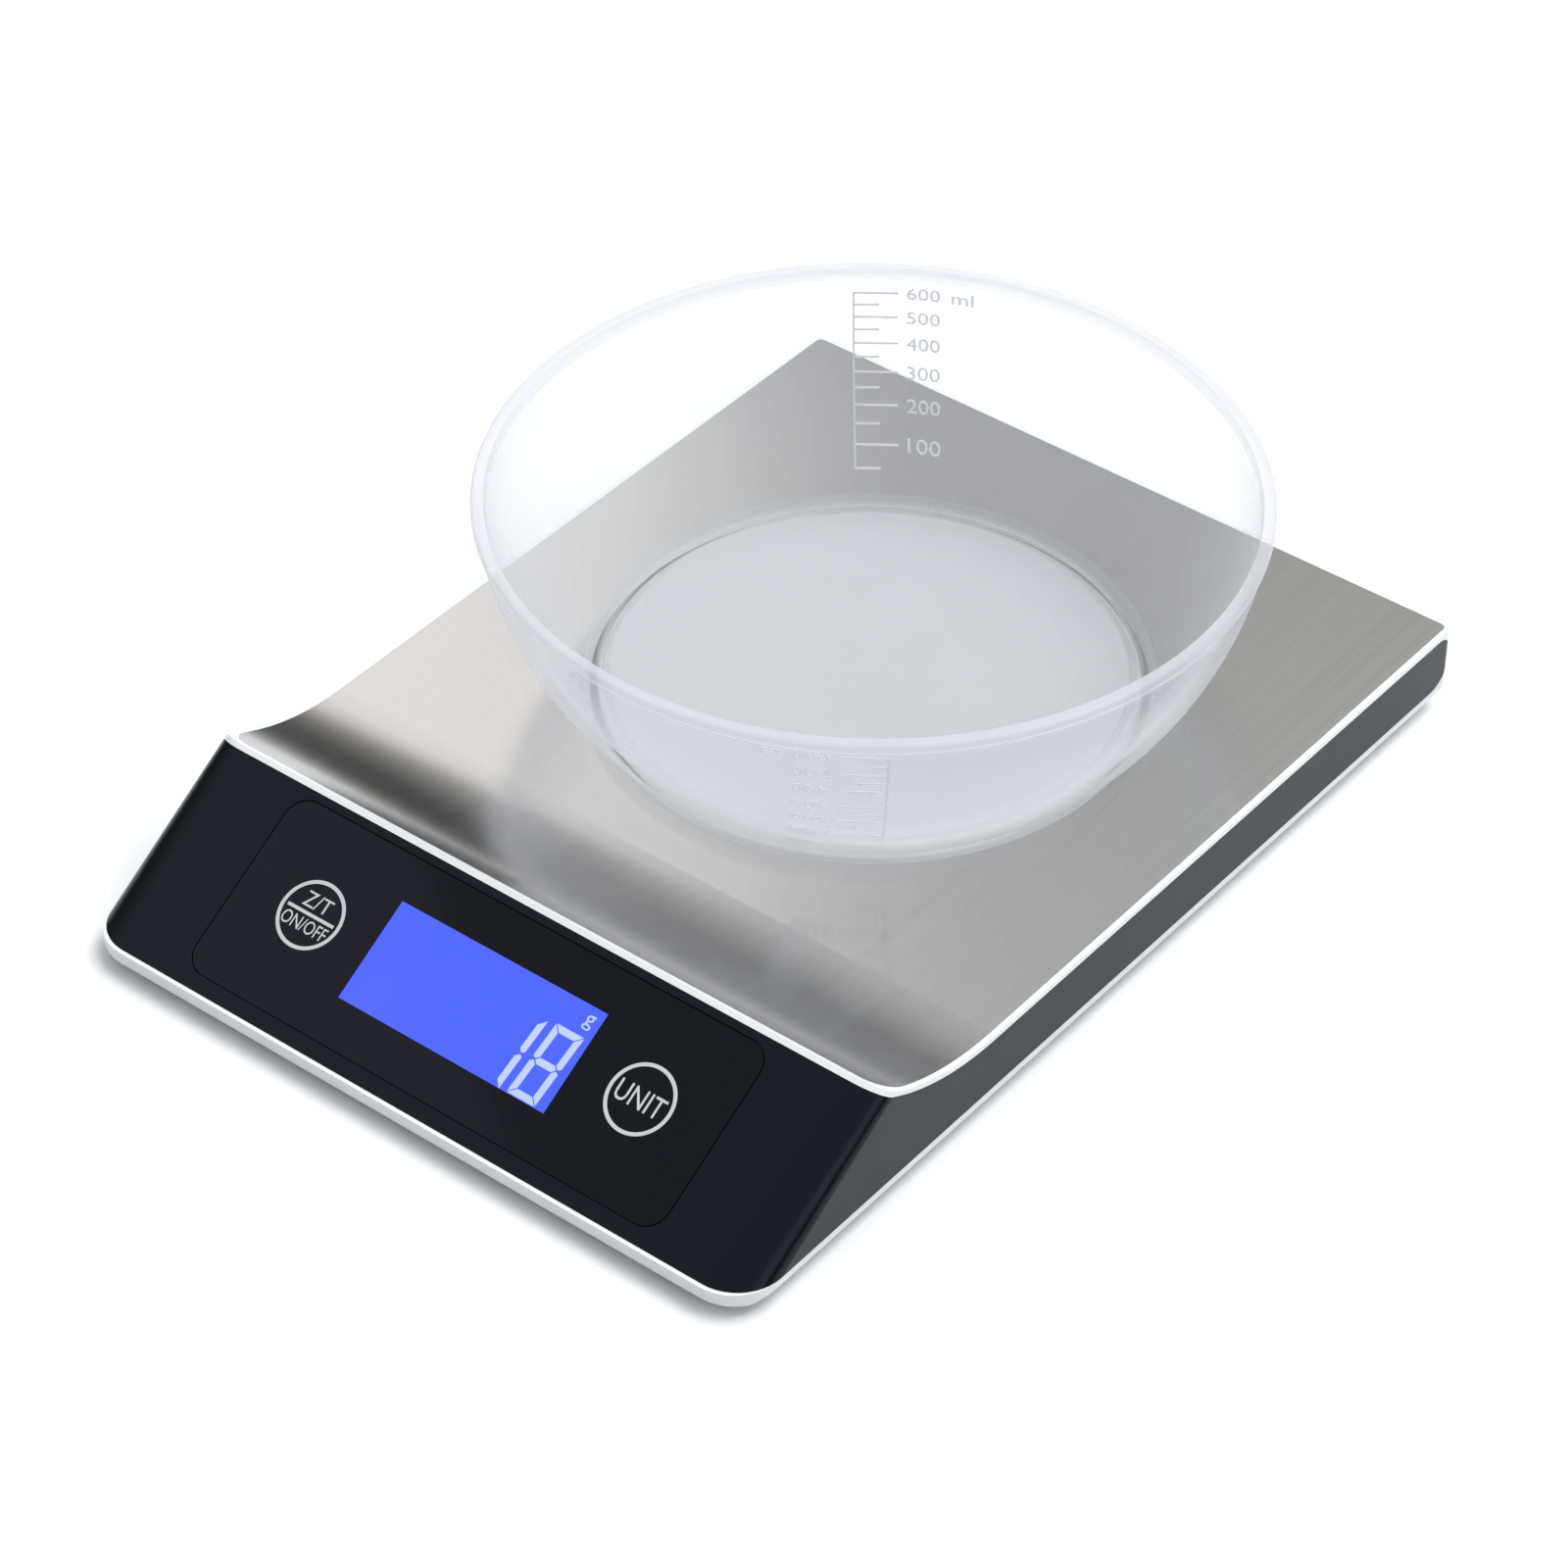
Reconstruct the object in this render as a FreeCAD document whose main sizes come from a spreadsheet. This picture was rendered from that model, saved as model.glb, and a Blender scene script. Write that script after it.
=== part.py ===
"""Electronic kitchen scale with a lift-off measuring bowl, as a parametric FreeCAD document.

Units are millimetres. +Z is up, the display faces -Y and +X is to the right of a person who
reads it. The origin lies on the table, under the middle of the body. The body stands on four
load-cell feet. Its casing is a lower shell, a gloss band round the front and both sides, and
an upper frame that carries the steel platform: flat under the bowl, swept up to the front lip.
Pieces behind the sloped front are drawn in the fascia's own frame, where x runs across, y runs
up the slope from the band's lower edge, and z points out of its face.
"""
import FreeCAD, Part
import Sketcher
import math
import os

SIZES = {
    # casing
    "width": 170.0,
    "depth": 239.6,
    "floor_level": 2.0,
    "floor_wall": 2.0,
    "band_level": 5.7,
    "platform_level": 19.6,
    "sweep_radius": 62.8,
    "sweep_run": 34.7,
    "ridge_setback": 41.5,
    "lip_ledge": 0.9,
    "lip_front_round": 1.2,
    "bevel_rise": 2.0,
    "bevel_run": 2.8,
    "stern_round": 8.0,
    "corner_low": 10.6,
    "corner_high": 7.0,
    "corner_back": 2.5,
    "inner_corner": 1.0,
    "trim_drop": 1.4,
    "trim_width": 1.1,
    "band_wall": 2.0,
    "fascia_wall": 2.6,
    "shell_wall": 2.0,
    "nose_margin": 1.0,
    "nose_round_high": 4.2,
    "nose_round_low": 6.0,
    "seam": 0.08,
    "steel_gauge": 0.5,
    "adhesive_gauge": 0.15,
    "layer_gap": 0.03,
    "adhesive_margin": 2.0,
    "deck_wall": 2.0,
    "overrun": 5.0,
    # control panel and display, up the slope of the fascia
    "panel_width": 121.0,
    "panel_height": 41.3,
    "panel_low": 3.6,
    "panel_gauge": 1.2,
    "panel_corner": 5.0,
    "panel_gap": 0.25,
    "panel_tape_inset": 0.5,
    "window_width": 54.6,
    "window_height": 24.8,
    "window_middle": 24.5,
    "key_spacing": 84.6,
    "key_opening": 6.5,
    "glass_width": 58.0,
    "glass_height": 28.0,
    "glass_gauge": 1.6,
    "glass_middle": 25.5,
    "glass_gap": 0.1,
    "backlight_height": 24.0,
    "backlight_gauge": 2.6,
    "holder_wall": 1.0,
    "zebra_length": 50.0,
    "zebra_height": 1.8,
    "board_width": 97.0,
    "board_height": 29.5,
    "board_low": 13.5,
    "board_gauge": 1.2,
    "board_depth": 7.2,
    "board_boss_radius": 2.4,
    "board_screw_radius": 0.9,
    "board_screw_inset": 3.5,
    "board_screw_low": 2.6,
    "board_screw_drop": 4.0,
    "touch_coil_radius": 4.6,
    "touch_wire_radius": 0.3,
    "touch_turns": 3.0,
    # weighing feet
    "foot_offset": 65.0,
    "foot_setback_front": 28.0,
    "foot_setback_back": 24.0,
    "foot_radius": 11.0,
    "foot_flange": 2.0,
    "foot_flange_gauge": 1.2,
    "foot_clearance": 0.5,
    "foot_seat_gap": 0.3,
    "stem_radius": 4.0,
    "pad_gauge": 1.2,
    "pad_inset": 1.0,
    "pad_tread": 2.5,
    "pad_hollow": 0.3,
    "pad_chamfer": 0.4,
    "cell_side": 30.0,
    "cell_gauge": 1.2,
    "cell_level": 7.0,
    "cell_slot": 1.6,
    "cell_frame_width": 5.0,
    "cell_bridge_half": 4.0,
    "cell_stake_inset": 2.4,
    "gauge_half": 3.0,
    "gauge_start": 2.0,
    "gauge_length": 5.0,
    "gauge_rise": 0.7,
    "cell_post_radius": 1.9,
    "cell_stake_radius": 1.0,
    # battery compartment
    "battery_y": 22.0,
    "battery_radius": 5.25,
    "battery_length": 44.5,
    "battery_nub_radius": 2.7,
    "battery_nub_length": 1.0,
    "battery_pitch": 11.6,
    "bay_length": 53.0,
    "bay_width": 25.4,
    "bay_wall": 1.2,
    "bay_ceiling": 14.9,
    "door_gauge": 1.7,
    "door_gap": 0.3,
    "grip_half": 8.0,
    "grip_pitch": 2.0,
    "grip_width": 1.0,
    "grip_depth": 0.5,
    "door_pin_radius": 0.5,
    "door_pin_reach": 0.8,
    "door_pin_clearance": 0.08,
    "contact_gauge": 0.4,
    "contact_width": 8.0,
    "contact_height": 8.6,
    "contact_button": 1.0,
    "contact_button_radius": 2.2,
    "contact_coil_radius": 3.0,
    "contact_wire_radius": 0.35,
    "contact_turns": 4.0,
    "contact_tab": 1.6,
    # screws
    "screw_inset": 13.0,
    "front_screw_inset": 2.3,
    "middle_screw_setback": 74.8,
    "rear_screw_offset": 25.0,
    "rear_screw_setback": 20.0,
    "driver_reach": 1.6,
    "driver_half": 0.3,
    "driver_depth": 0.9,
    "screw_radius": 1.25,
    "screw_head_radius": 2.6,
    "screw_head_height": 1.8,
    "screw_length": 9.0,
    "screw_clearance": 0.05,
    "screw_pad_radius": 4.5,
    "screw_pad_level": 8.0,
    "screw_seat_level": 5.0,
    "screw_boss_radius": 3.2,
    # leads
    "lead_radius": 0.8,
    "lead_level": 5.6,
    "lead_pitch": 3.0,
    "battery_lead_radius": 0.6,
    "connector_spacing": 22.0,
    "connector_height": 3.0,
    # bowl
    "bowl_gap": 12.5,
    "bowl_height": 49.4,
    "bowl_rim_radius": 81.4,
    "bowl_foot_radius": 58.5,
    "bowl_foot_height": 3.2,
    "bowl_foot_wall": 2.2,
    "bowl_foot_flare": 0.6,
    "bowl_wall": 1.8,
    "bowl_curve": 78.0,
    "bowl_rim_height": 2.6,
    "bowl_rim_lip": 0.8,
    "bowl_rim_round": 0.6,
    "bowl_floor_gap": 1.4,
}

DOC = FreeCAD.newDocument("kitchen_scale")
SHEET = DOC.addObject("Spreadsheet::Sheet", "Size")
for row, (size_name, size) in enumerate(SIZES.items(), 1):
    SHEET.set(f"A{row}", size_name)
    SHEET.set(f"B{row}", str(size))
    SHEET.setAlias(f"B{row}", size_name)
DOC.recompute()

# Places that several pieces share, as expressions of the sheet.
HALF = "Size.width / 2"
BACK = "Size.depth / 2"
FOOT_OF_BAND = "(Size.lip_ledge - Size.depth / 2)"
RIDGE = f"({FOOT_OF_BAND} + Size.ridge_setback)"
SWEEP_END = f"({RIDGE} + Size.sweep_run)"
RIDGE_RISE = "(Size.sweep_radius - sqrt(Size.sweep_radius ^ 2 - Size.sweep_run ^ 2))"
RIDGE_LEVEL = f"(Size.platform_level + {RIDGE_RISE})"
SLOPE_RISE = f"({RIDGE_LEVEL} - Size.band_level)"
SLOPE_RUN = f"(Size.ridge_setback / {SLOPE_RISE})"
ABOVE_ALL = f"({RIDGE_LEVEL} + 4)"
FLOOR_TOP = "(Size.floor_level + Size.floor_wall)"
DECK_TOP_DROP = "(Size.steel_gauge + Size.adhesive_gauge)"
DECK_DROP = f"({DECK_TOP_DROP} + Size.deck_wall)"
DECK_UNDERSIDE = f"(Size.platform_level - {DECK_DROP})"
BAND_TOP = "(Size.platform_level - Size.trim_drop)"
BOARD_TOP = "(-Size.board_depth)"
BOARD_BACK = "(-Size.board_depth - Size.board_gauge)"
BOARD_MIDDLE = "(Size.board_low + Size.board_height / 2)"
DOOR_HINGE_Y = "(Size.battery_y + Size.bay_width / 2 - Size.door_gap - Size.door_gauge / 2)"
DOOR_HINGE_Z = "(Size.floor_level + Size.door_gauge / 2)"
BATTERY_Z = "(Size.bay_ceiling - Size.door_gap - Size.battery_radius)"
BATTERY_SHIFT = ("(Size.bay_length / 2 - Size.battery_length / 2 - Size.contact_gauge"
                 " - Size.contact_button - 2 * Size.seam)")
CONTACT_TAB_Z = f"({BATTERY_Z} + Size.contact_height / 2 - 0.7)"
STEM_TOP = "(Size.cell_level - Size.seam)"

SIDES = {"left": -1, "right": 1}
NODES = []


def value(expression):
    """The number that an expression of the sheet gives."""
    return float(SHEET.evalExpression(expression))


def point(*expressions):
    """A point whose coordinates are expressions of the sheet."""
    return FreeCAD.Vector(*[value(expression) for expression in expressions])


def node(piece, label):
    """Make a finished piece one of the kept sub-parts, under its own name."""
    piece.Label = label
    NODES.append(piece)
    return piece


# ---------------------------------------------------------------- sketches and bodies

def line_or_arc(start, end, bend):
    """One edge of an outline: straight, or an arc that turns left (bend > 0) or right."""
    if not bend:
        return Part.LineSegment(start, end)
    chord = end - start
    radius = abs(bend)
    reach = math.sqrt(max(radius ** 2 - (chord.Length / 2) ** 2, 0.0))
    left = FreeCAD.Vector(-chord.y, chord.x, 0).normalize()
    centre = (start + end) * 0.5 + left * reach * math.copysign(1, bend)
    circle = Part.Circle(centre, FreeCAD.Vector(0, 0, 1), radius)
    first, last = (start, end) if bend > 0 else (end, start)
    angles = [math.atan2(p.y - centre.y, p.x - centre.x) for p in (first, last)]
    if angles[1] < angles[0]:
        angles[1] += 2 * math.pi
    return Part.ArcOfCircle(circle, angles[0], angles[1])


def outline(body, name, role, corners, level=None):
    """A closed sketch on an origin plane of a body.

    Each corner is (x, y) or (x, y, bend), all expressions; bend is the radius of an arc to the
    next corner, negative where it turns right. level moves the sketch along the plane's normal.
    """
    sketch = body.newObject("Sketcher::SketchObject", name)
    plane = next(f for f in body.Origin.OriginFeatures if f.Role == role)
    sketch.AttachmentSupport = [(plane, "")]
    sketch.MapMode = "FlatFace"
    if level is not None:
        sketch.setExpression("AttachmentOffset.Base.z", level)
    places = [FreeCAD.Vector(value(c[0]), value(c[1]), 0) for c in corners]
    bends = [value(c[2]) if len(c) > 2 else 0.0 for c in corners]
    ends = []
    for index, bend in enumerate(bends):
        start = places[index]
        end = places[(index + 1) % len(places)]
        sketch.addGeometry(line_or_arc(start, end, bend))
        ends.append((1, 2) if bend >= 0 else (2, 1))
    for index, corner in enumerate(corners):
        following = (index + 1) % len(corners)
        sketch.addConstraint(Sketcher.Constraint(
            "Coincident", index, ends[index][1], following, ends[following][0]))
        for kind, axis, place, text in (("DistanceX", -2, places[index].x, corner[0]),
                                        ("DistanceY", -1, places[index].y, corner[1])):
            if text == "0":
                sketch.addConstraint(Sketcher.Constraint(
                    "PointOnObject", index, ends[index][0], axis))
                continue
            bound = sketch.addConstraint(Sketcher.Constraint(
                kind, -1, 1, index, ends[index][0], place))
            sketch.setExpression(f"Constraints[{bound}]", text)
        if bends[index]:
            bound = sketch.addConstraint(Sketcher.Constraint("Radius", index, abs(bends[index])))
            sketch.setExpression(f"Constraints[{bound}]", f"abs({corner[2]})")
    return sketch


def new_body(name):
    """An empty PartDesign body."""
    return DOC.addObject("PartDesign::Body", name)


def pad(body, sketch, length, both_ways=False):
    """Pad a sketch by an expression's length, along its normal or evenly both ways."""
    feature = body.newObject("PartDesign::Pad", sketch.Name + "_pad")
    feature.Profile = sketch
    feature.setExpression("Length", length)
    if both_ways:
        feature.SideType = "Symmetric"
    return feature


def round_edges(body, feature, radius, chosen):
    """Fillet the edges of a feature's solid that a test picks."""
    DOC.recompute()
    names = [f"Edge{i}" for i, edge in enumerate(feature.Shape.Edges, 1) if chosen(edge)]
    fillet = body.newObject("PartDesign::Fillet", feature.Name + "_round")
    fillet.Base = (feature, names)
    fillet.setExpression("Radius", radius)
    return fillet


def rounded_plan(half, front, back, front_round, back_round):
    """Corners of a rectangle seen from above, with arcs at its front and back corners."""
    return [
        (f"-({half}) + ({front_round})", front),
        (f"({half}) - ({front_round})", front, front_round),
        (half, f"({front}) + ({front_round})"),
        (half, f"({back}) - ({back_round})", back_round),
        (f"({half}) - ({back_round})", back),
        (f"-({half}) + ({back_round})", back, back_round),
        (f"-({half})", f"({back}) - ({back_round})"),
        (f"-({half})", f"({front}) + ({front_round})", front_round),
    ]


def prism(name, corners, low, high):
    """A straight prism over a plan outline, from one level to another."""
    body = new_body(name)
    sketch = outline(body, name + "_plan", "XY_Plane", corners, low)
    pad(body, sketch, f"({high}) - ({low})")
    return body


# ---------------------------------------------------------------- primitives and booleans

def block(name, low, high, frame=None):
    """A box between two corners, each three expressions, in the given frame."""
    box = DOC.addObject("Part::Box", name)
    for side, start, end in zip(("Length", "Width", "Height"), low, high):
        box.setExpression(side, f"({end}) - ({start})")
    if frame is None:
        for axis, start in zip("xyz", low):
            box.setExpression(f"Placement.Base.{axis}", start)
    else:
        box.Placement = frame * FreeCAD.Placement(point(*low), FreeCAD.Rotation())
    return box


def rod(name, base, radius, length, frame=None, along="z"):
    """A cylinder from a base point along +Z or +X of the given frame."""
    cylinder = DOC.addObject("Part::Cylinder", name)
    cylinder.setExpression("Radius", radius)
    cylinder.setExpression("Height", length)
    turn = FreeCAD.Rotation(FreeCAD.Vector(0, 1, 0), 90 if along == "x" else 0)
    place = FreeCAD.Placement(point(*base), turn)
    cylinder.Placement = place if frame is None else frame * place
    if frame is None:
        for axis, start in zip("xyz", base):
            cylinder.setExpression(f"Placement.Base.{axis}", start)
    return cylinder


def cut(name, base, tool):
    """The base without the tool."""
    result = DOC.addObject("Part::Cut", name)
    result.Base = base
    result.Tool = tool
    return result


def fuse(name, pieces):
    """Several overlapping or touching solids as one."""
    result = DOC.addObject("Part::MultiFuse", name)
    result.Shapes = pieces
    result.Refine = True
    return result


def common(name, pieces):
    """What several solids share."""
    result = DOC.addObject("Part::MultiCommon", name)
    result.Shapes = pieces
    return result


def group(name, pieces):
    """Identical or matching separate solids kept in one sub-part."""
    result = DOC.addObject("Part::Compound", name)
    result.Links = pieces
    return result


def fascia_frame():
    """Placement of the sloped fascia's own frame."""
    lean = math.degrees(math.atan2(value(SLOPE_RISE), value("Size.ridge_setback")))
    corner = point("0", FOOT_OF_BAND, "Size.band_level")
    return FreeCAD.Placement(corner, FreeCAD.Rotation(FreeCAD.Vector(1, 0, 0), lean))


FASCIA = fascia_frame()


# ---------------------------------------------------------------- the casing's shared surfaces

def plan_of_wedge(level, side_inset, front_inset, back_inset, back_round):
    """The casing's outline at a level: its front follows the fascia's slope."""
    height = f"(({level}) - Size.band_level)"
    slant = f"sqrt(1 + {SLOPE_RUN} ^ 2)"
    front = f"({FOOT_OF_BAND} + {height} * {SLOPE_RUN} + ({front_inset}) * {slant})"
    narrowing = f"(Size.corner_high - Size.corner_low) / {SLOPE_RISE}"
    corner = f"(Size.corner_low + {height} * {narrowing} - ({side_inset}))"
    return rounded_plan(f"{HALF} - ({side_inset})", front, f"{BACK} - ({back_inset})",
                        corner, back_round)


def wedge(name, low, side_inset="0", front_inset="0", back_inset="0",
          back_round="Size.corner_back"):
    """The casing's tapered envelope, or one inside it, open-ended above the platform."""
    body = new_body(name)
    insets = (side_inset, front_inset, back_inset, back_round)
    foot = outline(body, name + "_foot", "XY_Plane", plan_of_wedge(low, *insets), low)
    head = outline(body, name + "_head", "XY_Plane", plan_of_wedge(ABOVE_ALL, *insets),
                   ABOVE_ALL)
    loft = body.newObject("PartDesign::AdditiveLoft", name + "_loft")
    loft.Profile = foot
    loft.Sections = [head]
    loft.Ruled = True
    return body


def sweep_edge(drop, reach, reverse=False):
    """The platform's side line, lowered by a drop: swept up in front, flat to the reach."""
    flat = f"Size.platform_level - ({drop})"
    run = f"({SWEEP_END} - {RIDGE} + 3)"
    start = f"({SWEEP_END} - {run})"
    rise = f"(Size.sweep_radius - sqrt(Size.sweep_radius ^ 2 - {run} ^ 2))"
    high = (start, f"{flat} + {rise}")
    if reverse:
        return [(reach, flat), (SWEEP_END, flat, "-Size.sweep_radius"), high]
    return [high + ("Size.sweep_radius",), (SWEEP_END, flat), (reach, flat)]


def sheet_under_platform(name, top_drop, low_drop):
    """A layer that follows the platform, between two drops below its top face."""
    body = new_body(name)
    reach = f"{BACK} + Size.overrun"
    corners = sweep_edge(low_drop, reach) + sweep_edge(top_drop, reach, reverse=True)
    sketch = outline(body, name + "_side", "YZ_Plane", corners)
    pad(body, sketch, "Size.width + 2 * Size.overrun", both_ways=True)
    return body


def space_under_platform(name, drop, level, back=None):
    """Everything between a level and the platform's line lowered by a drop."""
    body = new_body(name)
    reach = back or f"{BACK} + Size.overrun"
    start = f"-{BACK} - Size.overrun"
    swept = sweep_edge(drop, reach, reverse=True)
    corners = [(start, level), (reach, level)] + swept + [(start, swept[-1][1])]
    sketch = outline(body, name + "_side", "YZ_Plane", corners)
    pad(body, sketch, "Size.width + 2 * Size.overrun", both_ways=True)
    return body


def nose_region(name, grow):
    """What lies in front of the band's rounded ends, grown by a seam, over the full height."""
    body = new_body(name)
    tip = f"{BACK} - Size.nose_margin + ({grow})"
    low = f"Size.band_level - ({grow})"
    high = f"{BAND_TOP} + ({grow})"
    small = f"(Size.nose_round_high + ({grow}))"
    large = f"(Size.nose_round_low + ({grow}))"
    corners = [
        (f"-{BACK} - Size.overrun", low),
        (f"{tip} - {large}", low, large),
        (tip, f"{low} + {large}"),
        (tip, f"{high} - {small}", small),
        (f"{tip} - {small}", high),
        (SWEEP_END, high),
        (SWEEP_END, ABOVE_ALL),
        (f"-{BACK} - Size.overrun", ABOVE_ALL),
    ]
    sketch = outline(body, name + "_side", "YZ_Plane", corners)
    pad(body, sketch, "Size.width + 2 * Size.overrun", both_ways=True)
    return body


# ---------------------------------------------------------------- platform

def plate_plan(margin):
    """Plan outline of the steel plate, drawn in by a margin."""
    return rounded_plan(f"{HALF} - Size.trim_width - ({margin})",
                        f"{RIDGE} + Size.trim_width + ({margin})",
                        f"{BACK} - Size.trim_width - ({margin})",
                        f"Size.corner_high - Size.trim_width - ({margin})",
                        f"Size.corner_back - Size.trim_width")


def make_platform_plate():
    """Brushed steel plate, flat under the bowl and swept up to the front lip."""
    layer = sheet_under_platform("plate_layer", "0", "Size.steel_gauge")
    plan = prism("plate_prism", plate_plan("Size.seam"), "Size.band_level", ABOVE_ALL)
    return node(common("platform_plate", [layer, plan]), "platform_plate")


def make_plate_adhesive():
    """Double-sided sheet that holds the steel plate on the deck."""
    layer = sheet_under_platform("adhesive_layer", "Size.steel_gauge + Size.layer_gap",
                                 f"{DECK_TOP_DROP} - Size.layer_gap")
    plan = prism("adhesive_prism", plate_plan("Size.adhesive_margin"), "Size.band_level",
                 ABOVE_ALL)
    return node(common("plate_adhesive", [layer, plan]), "plate_adhesive")


# ---------------------------------------------------------------- casing

def screw_places():
    """Plan places of the casing screws: two rows at the sides and a pair at the back."""
    side = f"({HALF} - Size.screw_inset)"
    rows = (f"{SWEEP_END} - Size.front_screw_inset", f"{BACK} - Size.middle_screw_setback")
    places = [(f"{sign} * {side}", y) for sign in SIDES.values() for y in rows]
    places += [(f"{sign} * Size.rear_screw_offset", f"{BACK} - Size.rear_screw_setback")
               for sign in SIDES.values()]
    return places


def make_upper_frame():
    """White deck under the steel, with the trim rim that shows round it and screw bosses."""
    slab = common("frame_slab", [
        sheet_under_platform("frame_layer", "0", DECK_DROP),
        wedge("frame_envelope", "Size.band_level"),
    ])
    recess = common("frame_recess", [
        sheet_under_platform("recess_layer", "-2", DECK_TOP_DROP),
        prism("recess_prism", plate_plan("0"), "Size.band_level", ABOVE_ALL),
    ])
    band_seat = cut("band_seat", common("band_seat_outer", [
        sheet_under_platform("seat_layer", "Size.trim_drop - Size.seam", f"{DECK_DROP} + 2"),
        wedge("seat_envelope", "Size.band_level", "-1", "-1", "-1"),
        nose_region("seat_nose", "Size.seam"),
    ]), wedge("seat_core", "Size.band_level", "Size.band_wall + Size.seam",
              "Size.fascia_wall + Size.seam", "Size.shell_wall + Size.seam",
              "Size.inner_corner"))
    rim = cut("frame_rim", cut("frame_dished", slab, recess), band_seat)
    boss_length = f"{DECK_UNDERSIDE} + 0.5 - Size.screw_pad_level - Size.seam"
    bosses = []
    holes = []
    for index, (x, y) in enumerate(screw_places()):
        base = (x, y, "Size.screw_pad_level + Size.seam")
        bosses.append(rod(f"frame_boss_{index}", base, "Size.screw_boss_radius", boss_length))
        holes.append(rod(f"frame_hole_{index}", base, "Size.screw_radius + Size.screw_clearance",
                         f"{boss_length} - 1.5"))
    solid = fuse("frame_with_bosses", [rim] + bosses)
    return node(cut("upper_frame", solid, group("frame_holes", holes)), "upper_frame")


def make_side_band():
    """Gloss band: the sloped fascia and both sides, with openings behind the panel."""
    hull = cut("band_hull", wedge("band_outer", "Size.band_level"),
               wedge("band_inner", "Size.band_level - 1", "Size.band_wall", "Size.fascia_wall",
                     "-2"))
    shaped = common("band_shape", [
        hull,
        space_under_platform("band_height", "Size.trim_drop", "Size.band_level"),
        nose_region("band_nose", "0"),
    ])
    bosses = [rod(f"board_boss_{index}", (x, y, BOARD_TOP), "Size.board_boss_radius",
                  "Size.board_depth - Size.fascia_wall + 0.4", FASCIA)
              for index, (x, y) in enumerate(board_screw_places())]
    half = "Size.panel_width / 2 + Size.panel_gap"
    recess = panel_slab("panel_recess", half, "Size.panel_low - Size.panel_gap",
                        "Size.panel_low + Size.panel_height + Size.panel_gap",
                        "-(Size.panel_gauge + Size.adhesive_gauge)", "2",
                        "Size.panel_corner + Size.panel_gap")
    window = window_block("display_window", "0", "-Size.fascia_wall - 1", "1")
    openings = [key_rod(f"key_opening_{side}", sign, "-Size.fascia_wall - 1",
                        "Size.fascia_wall + 2") for side, sign in SIDES.items()]
    threads = [rod(f"board_thread_{index}", (x, y, f"{BOARD_TOP} - 0.1"),
                   "Size.board_screw_radius + Size.screw_clearance", "3.6", FASCIA)
               for index, (x, y) in enumerate(board_screw_places())]
    solid = fuse("band_with_bosses", [shaped] + bosses)
    voids = group("band_voids", [recess, window] + openings + threads)
    return node(cut("side_band", solid, voids), "side_band")


def foot_places():
    """Plan places of the four weighing feet, by name."""
    rows = {"front": "(Size.foot_setback_front - Size.depth / 2)",
            "back": "(Size.depth / 2 - Size.foot_setback_back)"}
    return {f"{row}_{side}": (f"{sign} * Size.foot_offset", y)
            for row, y in rows.items() for side, sign in SIDES.items()}


def cell_corners(x, y):
    """Plan places of a load cell's four stakes."""
    reach = "(Size.cell_side / 2 - Size.cell_stake_inset)"
    return [(f"{x} + {a} * {reach}", f"{y} + {b} * {reach}") for a in (-1, 1) for b in (-1, 1)]


def shell_outside():
    """The tray's outside: a plan with round corners, bevelled sides and a round stern."""
    tray = new_body("shell_tray")
    plan = rounded_plan(HALF, "-Size.depth / 2", BACK, "Size.corner_low", "Size.corner_back")
    lip = pad(tray, outline(tray, "tray_plan", "XY_Plane", plan, "Size.floor_level"),
              "Size.band_level - Size.floor_level - Size.seam")
    floor = value("Size.floor_level")
    corner_end = value("Size.corner_low - Size.depth / 2") + 1

    def along_front(edge):
        level = all(abs(v.Z - floor) < 1e-6 for v in edge.Vertexes)
        return level and edge.BoundBox.YMax < corner_end

    round_edges(tray, lip, "Size.lip_front_round", along_front)
    stern = cut("shell_stern", common("stern_block", [
        wedge("stern_wedge", "Size.band_level - Size.seam"),
        space_under_platform("stern_height", f"{DECK_DROP} + Size.seam",
                             "Size.band_level - Size.seam"),
    ]), nose_region("stern_nose", "Size.seam"))
    hull = new_body("shell_bevels")
    section = [
        (f"Size.bevel_run - {HALF}", "Size.floor_level"),
        (f"{HALF} - Size.bevel_run", "Size.floor_level"),
        (HALF, "Size.floor_level + Size.bevel_rise"),
        (HALF, ABOVE_ALL),
        (f"-{HALF}", ABOVE_ALL),
        (f"-{HALF}", "Size.floor_level + Size.bevel_rise"),
    ]
    pad(hull, outline(hull, "bevel_section", "XZ_Plane", section), "Size.depth + 2 * Size.overrun", True)
    keel = new_body("shell_keel")
    side = [
        (f"-{BACK} - Size.overrun", "Size.floor_level"),
        (f"{BACK} - Size.stern_round", "Size.floor_level", "Size.stern_round"),
        (BACK, "Size.floor_level + Size.stern_round"),
        (BACK, ABOVE_ALL),
        (f"-{BACK} - Size.overrun", ABOVE_ALL),
    ]
    pad(keel, outline(keel, "keel_side", "YZ_Plane", side), "Size.width + 2 * Size.overrun", True)
    return common("shell_outside", [fuse("shell_mass", [tray, stern]), hull, keel])


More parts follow.
